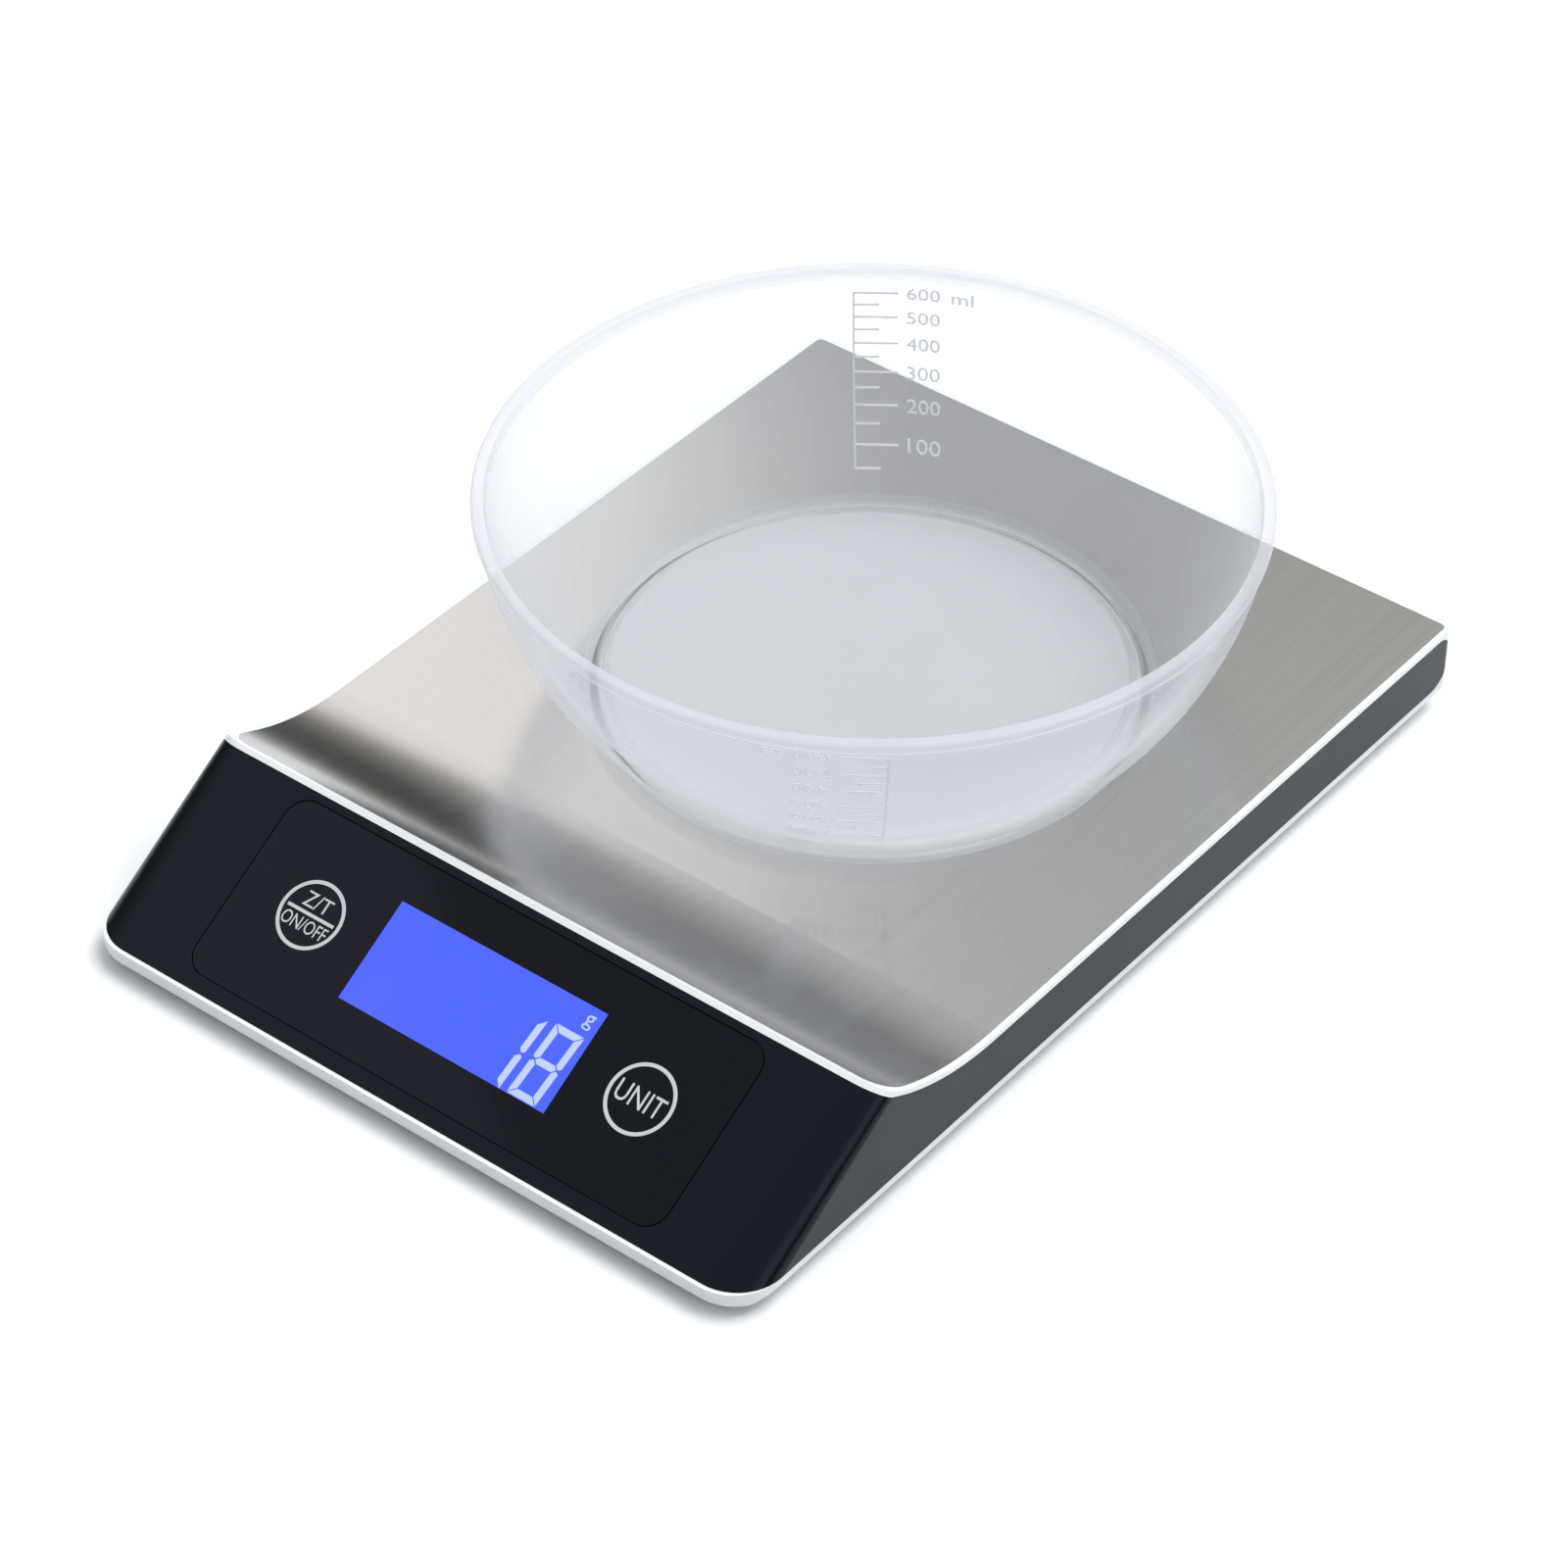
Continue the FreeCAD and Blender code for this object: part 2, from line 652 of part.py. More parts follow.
def shell_additions():
    """Posts, pads and the battery bay that stand on the tray's floor."""
    base = f"{FLOOR_TOP} - 0.4"
    pieces = []
    for name, (x, y) in foot_places().items():
        stake_top = "Size.cell_level + Size.cell_gauge + Size.seam"
        for index, corner in enumerate(cell_corners(x, y)):
            pieces += [
                rod(f"post_{name}_{index}", corner + (base,), "Size.cell_post_radius",
                    f"Size.cell_level - ({base})"),
                rod(f"stake_{name}_{index}", corner + (base,), "Size.cell_stake_radius",
                    f"{stake_top} + 0.5 - ({base})"),
                rod(f"stake_head_{name}_{index}", corner + (stake_top,),
                    "Size.cell_post_radius", "0.5"),
            ]
    for index, (x, y) in enumerate(screw_places()):
        pieces.append(rod(f"screw_pad_{index}", (x, y, base), "Size.screw_pad_radius",
                          f"Size.screw_pad_level - ({base})"))
    half_length = "(Size.bay_length / 2 + Size.bay_wall)"
    half_width = "(Size.bay_width / 2 + Size.bay_wall)"
    pieces.append(block("bay_outside",
                        (f"-{half_length}", f"Size.battery_y - {half_width}", base),
                        (half_length, f"Size.battery_y + {half_width}",
                         "Size.bay_ceiling + Size.bay_wall")))
    return pieces


def shell_voids():
    """Holes for feet and screws, the battery bay's hollow and the door's pin holes."""
    below = "Size.floor_level - 1"
    voids = []
    for name, (x, y) in foot_places().items():
        voids.append(rod(f"foot_hole_{name}", (x, y, below),
                         "Size.foot_radius + Size.foot_clearance", f"{FLOOR_TOP} + 1"))
    for index, (x, y) in enumerate(screw_places()):
        voids += [
            rod(f"screw_seat_{index}", (x, y, below), "Size.screw_head_radius + 0.3",
                f"Size.screw_seat_level - ({below})"),
            rod(f"screw_way_{index}", (x, y, below), "Size.screw_radius + 0.3",
                f"Size.screw_pad_level + 1 - ({below})"),
        ]
    voids.append(block("bay_hollow",
                       ("-Size.bay_length / 2", "Size.battery_y - Size.bay_width / 2", below),
                       ("Size.bay_length / 2", "Size.battery_y + Size.bay_width / 2",
                        "Size.bay_ceiling")))
    voids += [contact_tab(f"tab_slot_{row}", f"Size.battery_y + {row} * Size.battery_pitch / 2",
                          "0.15") for row in (-1, 1)]
    reach = "(Size.bay_length / 2 + Size.door_pin_reach)"
    voids.append(rod("pin_hole", (f"-{reach}", DOOR_HINGE_Y, DOOR_HINGE_Z),
                     "Size.door_pin_radius + Size.door_pin_clearance", f"2 * {reach}",
                     along="x"))
    return voids


def make_lower_shell():
    """White tray: floor, lip, inner side walls, back wall, cell posts and battery bay."""
    inner = common("shell_inner", [
        wedge("shell_wedge", "Size.band_level - Size.seam", "Size.band_wall + Size.seam",
              "Size.fascia_wall + Size.seam", "0.5"),
        space_under_platform("shell_height", f"{DECK_DROP} + Size.seam",
                             "Size.band_level - Size.seam"),
    ])
    cavity = common("shell_cavity", [
        wedge("cavity_wedge", FLOOR_TOP, "Size.band_wall + Size.shell_wall",
              "Size.fascia_wall - 0.5", "Size.shell_wall + Size.nose_margin",
              "Size.inner_corner"),
        space_under_platform("cavity_height", "-2", FLOOR_TOP),
    ])
    hollow = cut("shell_hollow", fuse("shell_block", [shell_outside(), inner]), cavity)
    solid = fuse("shell_furnished", [hollow] + shell_additions())
    return node(cut("lower_shell", solid, group("shell_voids", shell_voids())), "lower_shell")


def make_shell_screws():
    """Six self-tapping screws that hold the casing together from below."""
    screws = []
    for index, (x, y) in enumerate(screw_places()):
        head = rod(f"screw_head_{index}",
                   (x, y, "Size.screw_seat_level - Size.screw_head_height - Size.seam"),
                   "Size.screw_head_radius", "Size.screw_head_height")
        shank = rod(f"screw_shank_{index}", (x, y, "Size.screw_seat_level - 0.5"),
                    "Size.screw_radius", "Size.screw_length")
        drive = block(f"screw_drive_{index}",
                      (f"{x} - Size.driver_reach", f"{y} - Size.driver_half", "Size.floor_level"),
                      (f"{x} + Size.driver_reach", f"{y} + Size.driver_half",
                       "Size.screw_seat_level - Size.screw_head_height + Size.driver_depth"))
        cross = block(f"screw_cross_{index}",
                      (f"{x} - Size.driver_half", f"{y} - Size.driver_reach", "Size.floor_level"),
                      (f"{x} + Size.driver_half", f"{y} + Size.driver_reach",
                       "Size.screw_seat_level - Size.screw_head_height + Size.driver_depth"))
        whole = fuse(f"screw_{index}", [head, shank])
        screws.append(cut(f"shell_screw_{index}", whole,
                          group(f"screw_recess_{index}", [drive, cross])))
    return node(group("shell_screws", screws), "shell_screws")


# ---------------------------------------------------------------- weighing feet

def revolve(name, role, corners, axis="V_Axis"):
    """A turned solid: a half section revolved round an axis of its sketch."""
    body = new_body(name)
    sketch = outline(body, name + "_section", role, corners)
    feature = body.newObject("PartDesign::Revolution", name + "_turn")
    feature.Profile = sketch
    feature.ReferenceAxis = (sketch, [axis])
    feature.Angle = 360
    return body


def place(piece, x, y, z="0"):
    """Bind a piece's position to expressions of the sheet."""
    for axis, expression in zip("xyz", (x, y, z)):
        piece.setExpression(f"Placement.Base.{axis}", expression)
    return piece


def make_feet():
    """Each foot: a plastic cap with a stem under its load cell, and a rubber pad below."""
    flange = "(Size.foot_radius + Size.foot_flange)"
    shoulder = f"({FLOOR_TOP} + Size.foot_seat_gap)"
    cap = [
        ("0", "Size.pad_gauge"),
        ("Size.foot_radius", "Size.pad_gauge"),
        ("Size.foot_radius", shoulder),
        (flange, shoulder),
        (flange, f"{shoulder} + Size.foot_flange_gauge"),
        ("Size.stem_radius", f"{shoulder} + Size.foot_flange_gauge"),
        ("Size.stem_radius", STEM_TOP),
        ("0", STEM_TOP),
    ]
    edge = "(Size.foot_radius - Size.pad_inset)"
    tread = f"({edge} - Size.pad_tread)"
    pad_section = [
        ("0", "Size.pad_hollow"),
        (f"{tread} - Size.pad_hollow", "Size.pad_hollow"),
        (tread, "0"),
        (f"{edge} - Size.pad_chamfer", "0"),
        (edge, "Size.pad_chamfer"),
        (edge, "Size.pad_gauge"),
        ("0", "Size.pad_gauge"),
    ]
    for name, (x, y) in foot_places().items():
        node(place(revolve(f"foot_cap_{name}", "XZ_Plane", cap), x, y), f"foot_cap_{name}")
        node(place(revolve(f"foot_pad_{name}", "XZ_Plane", pad_section), x, y),
             f"foot_pad_{name}")


def make_load_cells():
    """Stamped cells on the tray's stakes: an outer frame with a tongue over the foot's stem."""
    dots = []
    for name, (x, y) in foot_places().items():
        low, high = "Size.cell_level", "Size.cell_level + Size.cell_gauge"
        frame = "(Size.cell_side / 2)"
        slot = "(Size.cell_side / 2 - Size.cell_frame_width)"
        tongue = f"({slot} - Size.cell_slot)"
        plate = square(f"cell_plate_{name}", x, y, frame, low, high)
        ring = cut(f"cell_ring_{name}", square(f"cell_slot_{name}", x, y, slot, low, high),
                   square(f"cell_tongue_{name}", x, y, tongue, low, high))
        bridge = block(f"cell_bridge_{name}", (f"{x} - Size.cell_bridge_half", f"{y}", low),
                       (f"{x} + Size.cell_bridge_half", f"{y} + {frame}", high))
        holes = [rod(f"cell_hole_{name}_{index}", corner + (f"{low} - 1",),
                     "Size.cell_stake_radius + Size.seam", "Size.cell_gauge + 2")
                 for index, corner in enumerate(cell_corners(x, y))]
        removed = group(f"cell_voids_{name}",
                        [cut(f"cell_gap_{name}", ring, bridge)] + holes)
        node(cut(f"load_cell_{name}", plate, removed), f"load_cell_{name}")
        dots.append(block(f"gauge_{name}", (f"{x} - Size.gauge_half", f"{y} + Size.gauge_start", high),
                          (f"{x} + Size.gauge_half",
                           f"{y} + Size.gauge_start + Size.gauge_length",
                           f"{high} + Size.gauge_rise")))
    node(group("strain_gauges", dots), "strain_gauges")


def square(name, x, y, half, low, high):
    """A square plate round a plan place."""
    return block(name, (f"{x} - {half}", f"{y} - {half}", low),
                 (f"{x} + {half}", f"{y} + {half}", high))


# ---------------------------------------------------------------- batteries

def make_battery_door():
    """Door in the floor: hooks on two pins at its back edge, with grip grooves in front."""
    half = "(Size.bay_length / 2 - Size.door_gap)"
    low = "Size.battery_y - Size.bay_width / 2 + Size.door_gap"
    top = "Size.floor_level + Size.door_gauge"
    leaf = block("door_leaf", (f"-{half}", low, "Size.floor_level"), (half, DOOR_HINGE_Y, top))
    barrel = rod("door_barrel", (f"-{half}", DOOR_HINGE_Y, DOOR_HINGE_Z),
                 "Size.door_gauge / 2", f"2 * {half}", along="x")
    reach = f"({half} + Size.door_pin_reach)"
    pins = rod("door_pins", (f"-{reach}", DOOR_HINGE_Y, DOOR_HINGE_Z), "Size.door_pin_radius",
               f"2 * {reach}", along="x")
    grooves = [block(f"door_groove_{index}",
                     ("-Size.grip_half", f"{low} + {index + 1} * Size.grip_pitch", "Size.floor_level - 1"),
                     ("Size.grip_half", f"{low} + {index + 1} * Size.grip_pitch + Size.grip_width",
                      "Size.floor_level + Size.grip_depth"))
               for index in range(3)]
    solid = fuse("door_solid", [leaf, barrel, pins])
    return node(cut("battery_door", solid, group("door_grooves", grooves)), "battery_door")


def make_batteries():
    """Two cylindrical cells side by side, facing opposite ways."""
    half = "(Size.battery_length / 2)"
    shoulder = f"({half} - Size.battery_nub_length)"
    section = [
        (f"-{half}", "0"),
        (half, "0"),
        (half, "Size.battery_nub_radius"),
        (shoulder, "Size.battery_nub_radius"),
        (shoulder, "Size.battery_radius"),
        (f"-{half}", "Size.battery_radius"),
    ]
    for name, sign in (("battery_front", -1), ("battery_back", 1)):
        body = revolve(name, "XY_Plane", section, "H_Axis")
        turn = 0 if sign < 0 else 180
        body.Placement.Rotation = FreeCAD.Rotation(FreeCAD.Vector(0, 0, 1), turn)
        place(body, f"{-sign} * {BATTERY_SHIFT}",
              f"Size.battery_y + {sign} * Size.battery_pitch / 2", BATTERY_Z)
        node(body, name)


def coil(name, radius, wire, turns, length):
    """A spring of round wire that winds along +Z from the origin."""
    helix = DOC.addObject("Part::Helix", name + "_line")
    helix.setExpression("Radius", radius)
    helix.setExpression("Height", f"({length}) - 2 * ({wire})")
    helix.setExpression("Pitch", f"(({length}) - 2 * ({wire})) / ({turns})")
    helix.SegmentLength = 1
    helix.recompute()
    turn_edges = [f"Edge{index}" for index, _ in enumerate(helix.Shape.Edges, 1)]
    ring = DOC.addObject("Part::Circle", name + "_wire")
    ring.setExpression("Radius", wire)
    ring.Placement.Rotation = FreeCAD.Rotation(FreeCAD.Vector(1, 0, 0), 90)
    ring.setExpression("Placement.Base.x", radius)
    sweep = DOC.addObject("Part::Sweep", name)
    sweep.Sections = [ring]
    sweep.Spine = (helix, turn_edges)
    sweep.Solid = True
    sweep.Frenet = True
    return sweep


def contact_plate(name, side, y, span):
    """A sheet-metal plate on one end wall of the battery bay."""
    wall = "(Size.bay_length / 2 - Size.seam)"
    inner = f"({wall} - Size.contact_gauge)"
    low_x, high_x = (inner, wall) if side > 0 else (f"-{wall}", f"-{inner}")
    return block(name, (low_x, f"{y} - {span} / 2", f"{BATTERY_Z} - Size.contact_height / 2"),
                 (high_x, f"{y} + {span} / 2", f"{BATTERY_Z} + Size.contact_height / 2"))


def contact_tab(name, y, grow):
    """The solder tab that a contact puts through the bay's right end wall."""
    half_width = f"(1 + {grow})"
    half_gauge = f"(Size.contact_gauge / 2 + {grow})"
    return block(name, ("Size.bay_length / 2 - Size.seam - Size.contact_gauge",
                        f"{y} - {half_width}", f"{CONTACT_TAB_Z} - {half_gauge}"),
                 ("Size.bay_length / 2 + Size.bay_wall + Size.contact_tab",
                  f"{y} + {half_width}", f"{CONTACT_TAB_Z} + {half_gauge}"))


def contact_button(name, side, y):
    """The raised button of a positive contact."""
    wall = "(Size.bay_length / 2 - Size.seam - Size.contact_gauge)"
    start = f"({wall} - Size.contact_button)"
    base = f"{start}" if side > 0 else f"-{wall} - 0.05"
    return rod(name, (base, y, BATTERY_Z), "Size.contact_button_radius",
               "Size.contact_button + 0.05", along="x")


def contact_spring(name, side, y):
    """The coil spring of a negative contact, pressed against its battery."""
    wall = "(Size.bay_length / 2 - Size.seam - Size.contact_gauge)"
    reach = f"(Size.bay_length / 2 - Size.battery_length / 2 + {BATTERY_SHIFT} - 0.2" \
            " - Size.seam - Size.contact_gauge)"
    spring = coil(name, "Size.contact_coil_radius", "Size.contact_wire_radius",
                  "Size.contact_turns", reach)
    spring.Placement.Rotation = FreeCAD.Rotation(FreeCAD.Vector(0, 1, 0), -90 * side)
    return place(spring, f"{side} * ({wall} - 0.3)", y, BATTERY_Z)


def make_battery_contacts():
    """A bridge across the left ends, and separate positive and negative plates at the right."""
    front = "(Size.battery_y - Size.battery_pitch / 2)"
    back = "(Size.battery_y + Size.battery_pitch / 2)"
    bridge = [
        contact_plate("bridge_plate", -1, "Size.battery_y",
                      "(Size.battery_pitch + Size.contact_width)"),
        contact_button("bridge_button", -1, back),
        contact_spring("bridge_spring", -1, front),
    ]
    node(fuse("battery_bridge_contact", bridge), "battery_bridge_contact")
    plus = [
        contact_plate("plus_plate", 1, front, "Size.contact_width"),
        contact_button("plus_button", 1, front),
        contact_tab("plus_tab", front, "0"),
    ]
    node(fuse("battery_positive_contact", plus), "battery_positive_contact")
    minus = [
        contact_plate("minus_plate", 1, back, "Size.contact_width"),
        contact_spring("minus_spring", 1, back),
        contact_tab("minus_tab", back, "0"),
    ]
    node(fuse("battery_negative_contact", minus), "battery_negative_contact")


# ---------------------------------------------------------------- panel, display and board

def panel_slab(name, half, low, high, bottom, top, corner):
    """A rounded slab in the fascia's frame."""
    body = prism(name, rounded_plan(half, low, high, corner, corner), bottom, top)
    body.Placement = FASCIA
    return body


def make_control_panel():
    """Gloss lens over the display and the two touch keys, with its adhesive sheet."""
    high = "Size.panel_low + Size.panel_height"
    node(panel_slab("control_panel", "Size.panel_width / 2", "Size.panel_low", high,
                    "-Size.panel_gauge", "0", "Size.panel_corner"), "control_panel")
    sheet = panel_slab("panel_adhesive_sheet", "Size.panel_width / 2 - Size.panel_tape_inset",
                       "Size.panel_low + Size.panel_tape_inset", f"{high} - Size.panel_tape_inset",
                       "-Size.panel_gauge - Size.adhesive_gauge", "-Size.panel_gauge",
                       "Size.panel_corner - Size.panel_tape_inset")
    window = window_block("adhesive_window", "0.5", "-Size.fascia_wall", "0")
    openings = [key_rod(f"adhesive_key_{side}", sign, "-Size.fascia_wall",
                        "Size.fascia_wall") for side, sign in SIDES.items()]
    node(cut("panel_adhesive", sheet, group("adhesive_voids", [window] + openings)),
         "panel_adhesive")


def window_block(name, grow, low, high):
    """The display window's outline, grown by a margin, between two depths."""
    half_width = f"(Size.window_width / 2 + {grow})"
    half_height = f"(Size.window_height / 2 + {grow})"
    return block(name, (f"-{half_width}", f"Size.window_middle - {half_height}", low),
                 (half_width, f"Size.window_middle + {half_height}", high), FASCIA)


def key_rod(name, sign, base, length):
    """The opening behind a touch key."""
    return rod(name, (f"{sign} * Size.key_spacing / 2", "Size.window_middle", base),
               "Size.key_opening", length, FASCIA)


def fascia_block(name, half_width, low, high, bottom, top):
    """A box in the fascia's frame that is centred across it."""
    return block(name, (f"-({half_width})", low, bottom), (half_width, high, top), FASCIA)


def make_display():
    """Liquid-crystal glass, its backlight, the holder round both and the contact strip."""
    glass_low = "(Size.glass_middle - Size.glass_height / 2)"
    glass_high = "(Size.glass_middle + Size.glass_height / 2)"
    face = "(-Size.fascia_wall - Size.glass_gap)"
    back = f"({face} - Size.glass_gauge)"
    light_back = f"({back} - Size.seam - Size.backlight_gauge)"
    light_high = f"({glass_low} + Size.backlight_height)"
    node(fuse("display_glass", [
        fascia_block("glass_front", "Size.glass_width / 2", glass_low, f"{glass_high} - 2",
                     back, face),
        fascia_block("glass_rear", "Size.glass_width / 2", glass_low, glass_high, back,
                     f"{back} + Size.glass_gauge / 2"),
    ]), "display_glass")
    node(fascia_block("backlight", "Size.glass_width / 2 - 1", glass_low, light_high,
                      light_back, f"{back} - Size.seam"), "backlight")
    zebra_low = f"({light_high} + 0.6)"
    node(fascia_block("contact_strip", "Size.zebra_length / 2", zebra_low,
                      f"{zebra_low} + Size.zebra_height", f"{BOARD_TOP} + Size.seam",
                      f"{back} - Size.seam"), "contact_strip")
    outer = f"(Size.glass_width / 2 + Size.seam + Size.holder_wall)"
    frame = fascia_block("holder_outside", outer, f"{glass_low} - Size.seam - Size.holder_wall",
                         f"{glass_high} + Size.seam + Size.holder_wall",
                         f"{BOARD_TOP} + Size.seam", face)
    inside = fascia_block("holder_inside", "Size.glass_width / 2 + Size.seam",
                          f"{glass_low} - Size.seam", f"{glass_high} + Size.seam",
                          f"{BOARD_TOP} - 1", "0")
    node(cut("display_holder", frame, inside), "display_holder")


def make_board():
    """Main board behind the display, its parts, its screws and the two touch springs."""
    high = "Size.board_low + Size.board_height"
    plate = fascia_block("board_plate", "Size.board_width / 2", "Size.board_low", high,
                         BOARD_BACK, BOARD_TOP)
    holes = [rod(f"board_hole_{index}", (x, y, f"{BOARD_BACK} - 1"),
                 "Size.board_screw_radius + 0.3", "Size.board_gauge + 2", FASCIA)
             for index, (x, y) in enumerate(board_screw_places())]
    node(cut("main_board", plate, group("board_holes", holes)), "main_board")
    parts = [rod("chip_blob", ("0", f"{BOARD_MIDDLE} - 2", f"{BOARD_BACK} - 1.4"), "5.5", "1.4",
                 FASCIA)]
    spread = "Size.connector_spacing"
    tall = "Size.connector_height"
    for index, (x, rise, width, height, depth) in enumerate((
            (f"-{spread}", "6", "8", "4", tall),
            (spread, "6", "8", "4", tall),
            ("10.5", "7", "6", "4", tall),
            ("-14", "-3", "4", "2.5", "1.2"),
            ("14", "-3", "4", "2.5", "1.2"),
            ("30", "-2", "5", "5", "1.6"),
            ("-30", "-2", "3", "6", "1.6"))):
        parts.append(block(
            f"board_part_{index}",
            (f"{x} - {width} / 2", f"{BOARD_MIDDLE} + {rise} - {height} / 2",
             f"{BOARD_BACK} - {depth}"),
            (f"{x} + {width} / 2", f"{BOARD_MIDDLE} + {rise} + {height} / 2", BOARD_BACK),
            FASCIA))
    node(group("board_parts", parts), "board_parts")
    screws = []
    for index, (x, y) in enumerate(board_screw_places()):
        head = rod(f"board_head_{index}", (x, y, f"{BOARD_BACK} - 1"), "1.7", "1", FASCIA)
        shank = rod(f"board_shank_{index}", (x, y, f"{BOARD_BACK} - 0.5"),
                    "Size.board_screw_radius", "Size.board_gauge + 3.2", FASCIA)
        screws.append(fuse(f"board_screw_{index}", [head, shank]))
    node(group("board_screws", screws), "board_screws")
    springs = []
    reach = "(Size.board_depth - Size.panel_gauge - Size.adhesive_gauge - 0.2)"
    for side, sign in SIDES.items():
        spring = coil(f"touch_coil_{side}", "Size.touch_coil_radius", "Size.touch_wire_radius",
                      "Size.touch_turns", reach)
        start = point(f"{sign} * Size.key_spacing / 2", "Size.window_middle",
                      f"{BOARD_TOP} + 0.05 + Size.touch_wire_radius")
        spring.Placement = FASCIA * FreeCAD.Placement(start, FreeCAD.Rotation())
        springs.append(spring)
    node(group("touch_springs", springs), "touch_springs")


# ---------------------------------------------------------------- leads

def lead(name, corners, radius):
    """A lead held along its whole route: straight runs joined by tangent arcs."""
    route = [c if isinstance(c, FreeCAD.Vector) else point(*c) for c in corners]
    bends = []
    for before, corner, after in zip(route, route[1:], route[2:]):
        arriving = corner - before
        leaving = after - corner
        turn = arriving.getAngle(leaving)
        reach = 0.45 * min(arriving.Length, leaving.Length)
        start = corner - arriving.normalize() * reach
        end = corner + leaving.normalize() * reach
        bend_radius = reach / math.tan(turn / 2)
        inward = ((start + end) * 0.5 - corner).normalize()
        depth = bend_radius / math.cos(turn / 2) - bend_radius
        bends.append((start, corner + inward * depth, end, bend_radius))
    edges = []
    last = route[0]
    for start, middle, end, _ in bends:
        edges.append(Part.LineSegment(last, start).toShape())
        edges.append(Part.Arc(start, middle, end).toShape())
        last = end
    edges.append(Part.LineSegment(last, route[-1]).toShape())
    path = Part.Wire(edges)
    section = Part.Circle(route[0], route[1] - route[0], radius)
    tube = path.makePipeShell([Part.Wire([section.toShape()])], True, True)
    expected = math.pi * radius ** 2 * path.Length
    if abs(tube.Volume - expected) > 0.01 * expected:
        raise RuntimeError(f"{name}: the lead's volume is off its section times its length")
    radii = ", ".join(f"{bend[3]:.1f}" for bend in bends)
    print(f"{name}: length {path.Length:.1f}, bend radii {radii}")
    feature = DOC.addObject("Part::Feature", name)
    feature.Shape = tube
    return node(feature, name)


def plug_end(x, rise, back_off):
    """A point behind one of the board's connectors, straight out from the board's back."""
    return FASCIA.multVec(point(x, f"{BOARD_MIDDLE} + {rise}",
                                f"{BOARD_BACK} - Size.connector_height - {back_off}"))


def make_leads():
    """One lead from each load cell, and two from the battery contacts, to the board."""
    radius = value("Size.lead_radius")
    low = "Size.lead_level"
    level = "Size.cell_level + 0.4"
    lane = "(Size.foot_offset - Size.cell_side / 2 - 6)"
    for name, (x, y) in foot_places().items():
        sign = -1 if "left" in name else 1
        inner = f"({x} - {sign} * (Size.cell_side / 2 + 1))"
        if "back" in name:
            plug = f"{sign} * (Size.connector_spacing - Size.lead_pitch / 2)"
            corners = [
                (inner, y, level),
                (f"{sign} * ({lane} - 1)", f"{y} - 2", low),
                (f"{sign} * {lane}", f"{y} - 22", low),
                (f"{sign} * {lane}", f"{RIDGE} + 32", low),
                (f"{sign} * ({lane} - 8)", f"{RIDGE} + 11", f"{low} + 0.4"),
                (plug, f"{RIDGE} + 1", f"{low} + 1.4"),
            ]
        else:
            plug = f"{sign} * (Size.connector_spacing + Size.lead_pitch / 2)"
            corners = [
                (inner, f"{y} + 6.3", level),
                (f"{sign} * ({lane} - 8)", f"{y} + 10.3", f"{low} + 0.9"),
                (f"{sign} * (Size.connector_spacing + 5)", f"{y} + 11.3", f"{low} + 1.9"),
            ]
        corners += [plug_end(plug, "6", "4.8"), plug_end(plug, "6", "0.3")]
        lead(f"cell_lead_{name}", corners, radius)
    for name, row, plug in (("positive", -1, "9"), ("negative", 1, "12")):
        y = f"(Size.battery_y + {row} * Size.battery_pitch / 2)"
        start = "(Size.bay_length / 2 + Size.bay_wall + Size.contact_tab)"
        beside = f"({start} + 4 + {row})"
        corners = [
            (f"{start} + 0.5", y, CONTACT_TAB_Z),
            (beside, f"{y} - 4", f"{low} + 4"),
            (beside, "Size.battery_y - 40", low),
            (f"{beside} - 5", f"{RIDGE} + 28", low),
            (f"{plug} + 1.5", f"{RIDGE} + 6", f"{low} + 1.6"),
            plug_end(plug, "7", "4.8"),
            plug_end(plug, "7", "0.3"),
        ]
        lead(f"battery_lead_{name}", corners, value("Size.battery_lead_radius"))


# ---------------------------------------------------------------- bowl

def make_bowl():
    """Translucent bowl: a turned wall that curves out from a foot ring to a beaded rim."""
    foot = "Size.bowl_foot_radius"
    rim = "Size.bowl_rim_radius"
    tall = "Size.bowl_height"
    under_rim = f"{tall} - Size.bowl_rim_height"
    section = [
        (f"{foot} - Size.bowl_foot_wall", "0"),
        (foot, "0"),
        (f"{foot} + Size.bowl_foot_flare", "Size.bowl_foot_height", "Size.bowl_curve"),
        (f"{rim} - Size.bowl_rim_lip", under_rim),
        (rim, f"{under_rim} + Size.bowl_rim_lip"),
        (rim, f"{tall} - Size.bowl_rim_round", "Size.bowl_rim_round"),
        (f"{rim} - Size.bowl_rim_round", tall),
        (f"{rim} - Size.bowl_rim_lip - Size.bowl_wall", tall, "-Size.bowl_curve"),
        (f"{foot} - Size.bowl_foot_wall", "Size.bowl_floor_gap + Size.bowl_wall"),
        ("0", "Size.bowl_floor_gap + Size.bowl_wall"),
        ("0", "Size.bowl_floor_gap"),
        (f"{foot} - Size.bowl_foot_wall", "Size.bowl_floor_gap"),
    ]
    bowl = revolve("bowl", "XZ_Plane", section)
    centre = f"{SWEEP_END} + Size.bowl_gap + {foot}"
    return node(place(bowl, "0", centre, "Size.platform_level"), "bowl")


def board_screw_places():
    """Places of the board's screws in the fascia's frame, near its corners."""
    side = "(Size.board_width / 2 - Size.board_screw_inset)"
    low = "Size.board_low + Size.board_screw_low"
    high = "Size.board_low + Size.board_height - Size.board_screw_drop"
    return [(f"{sign} * {side}", y) for sign in SIDES.values() for y in (low, high)]


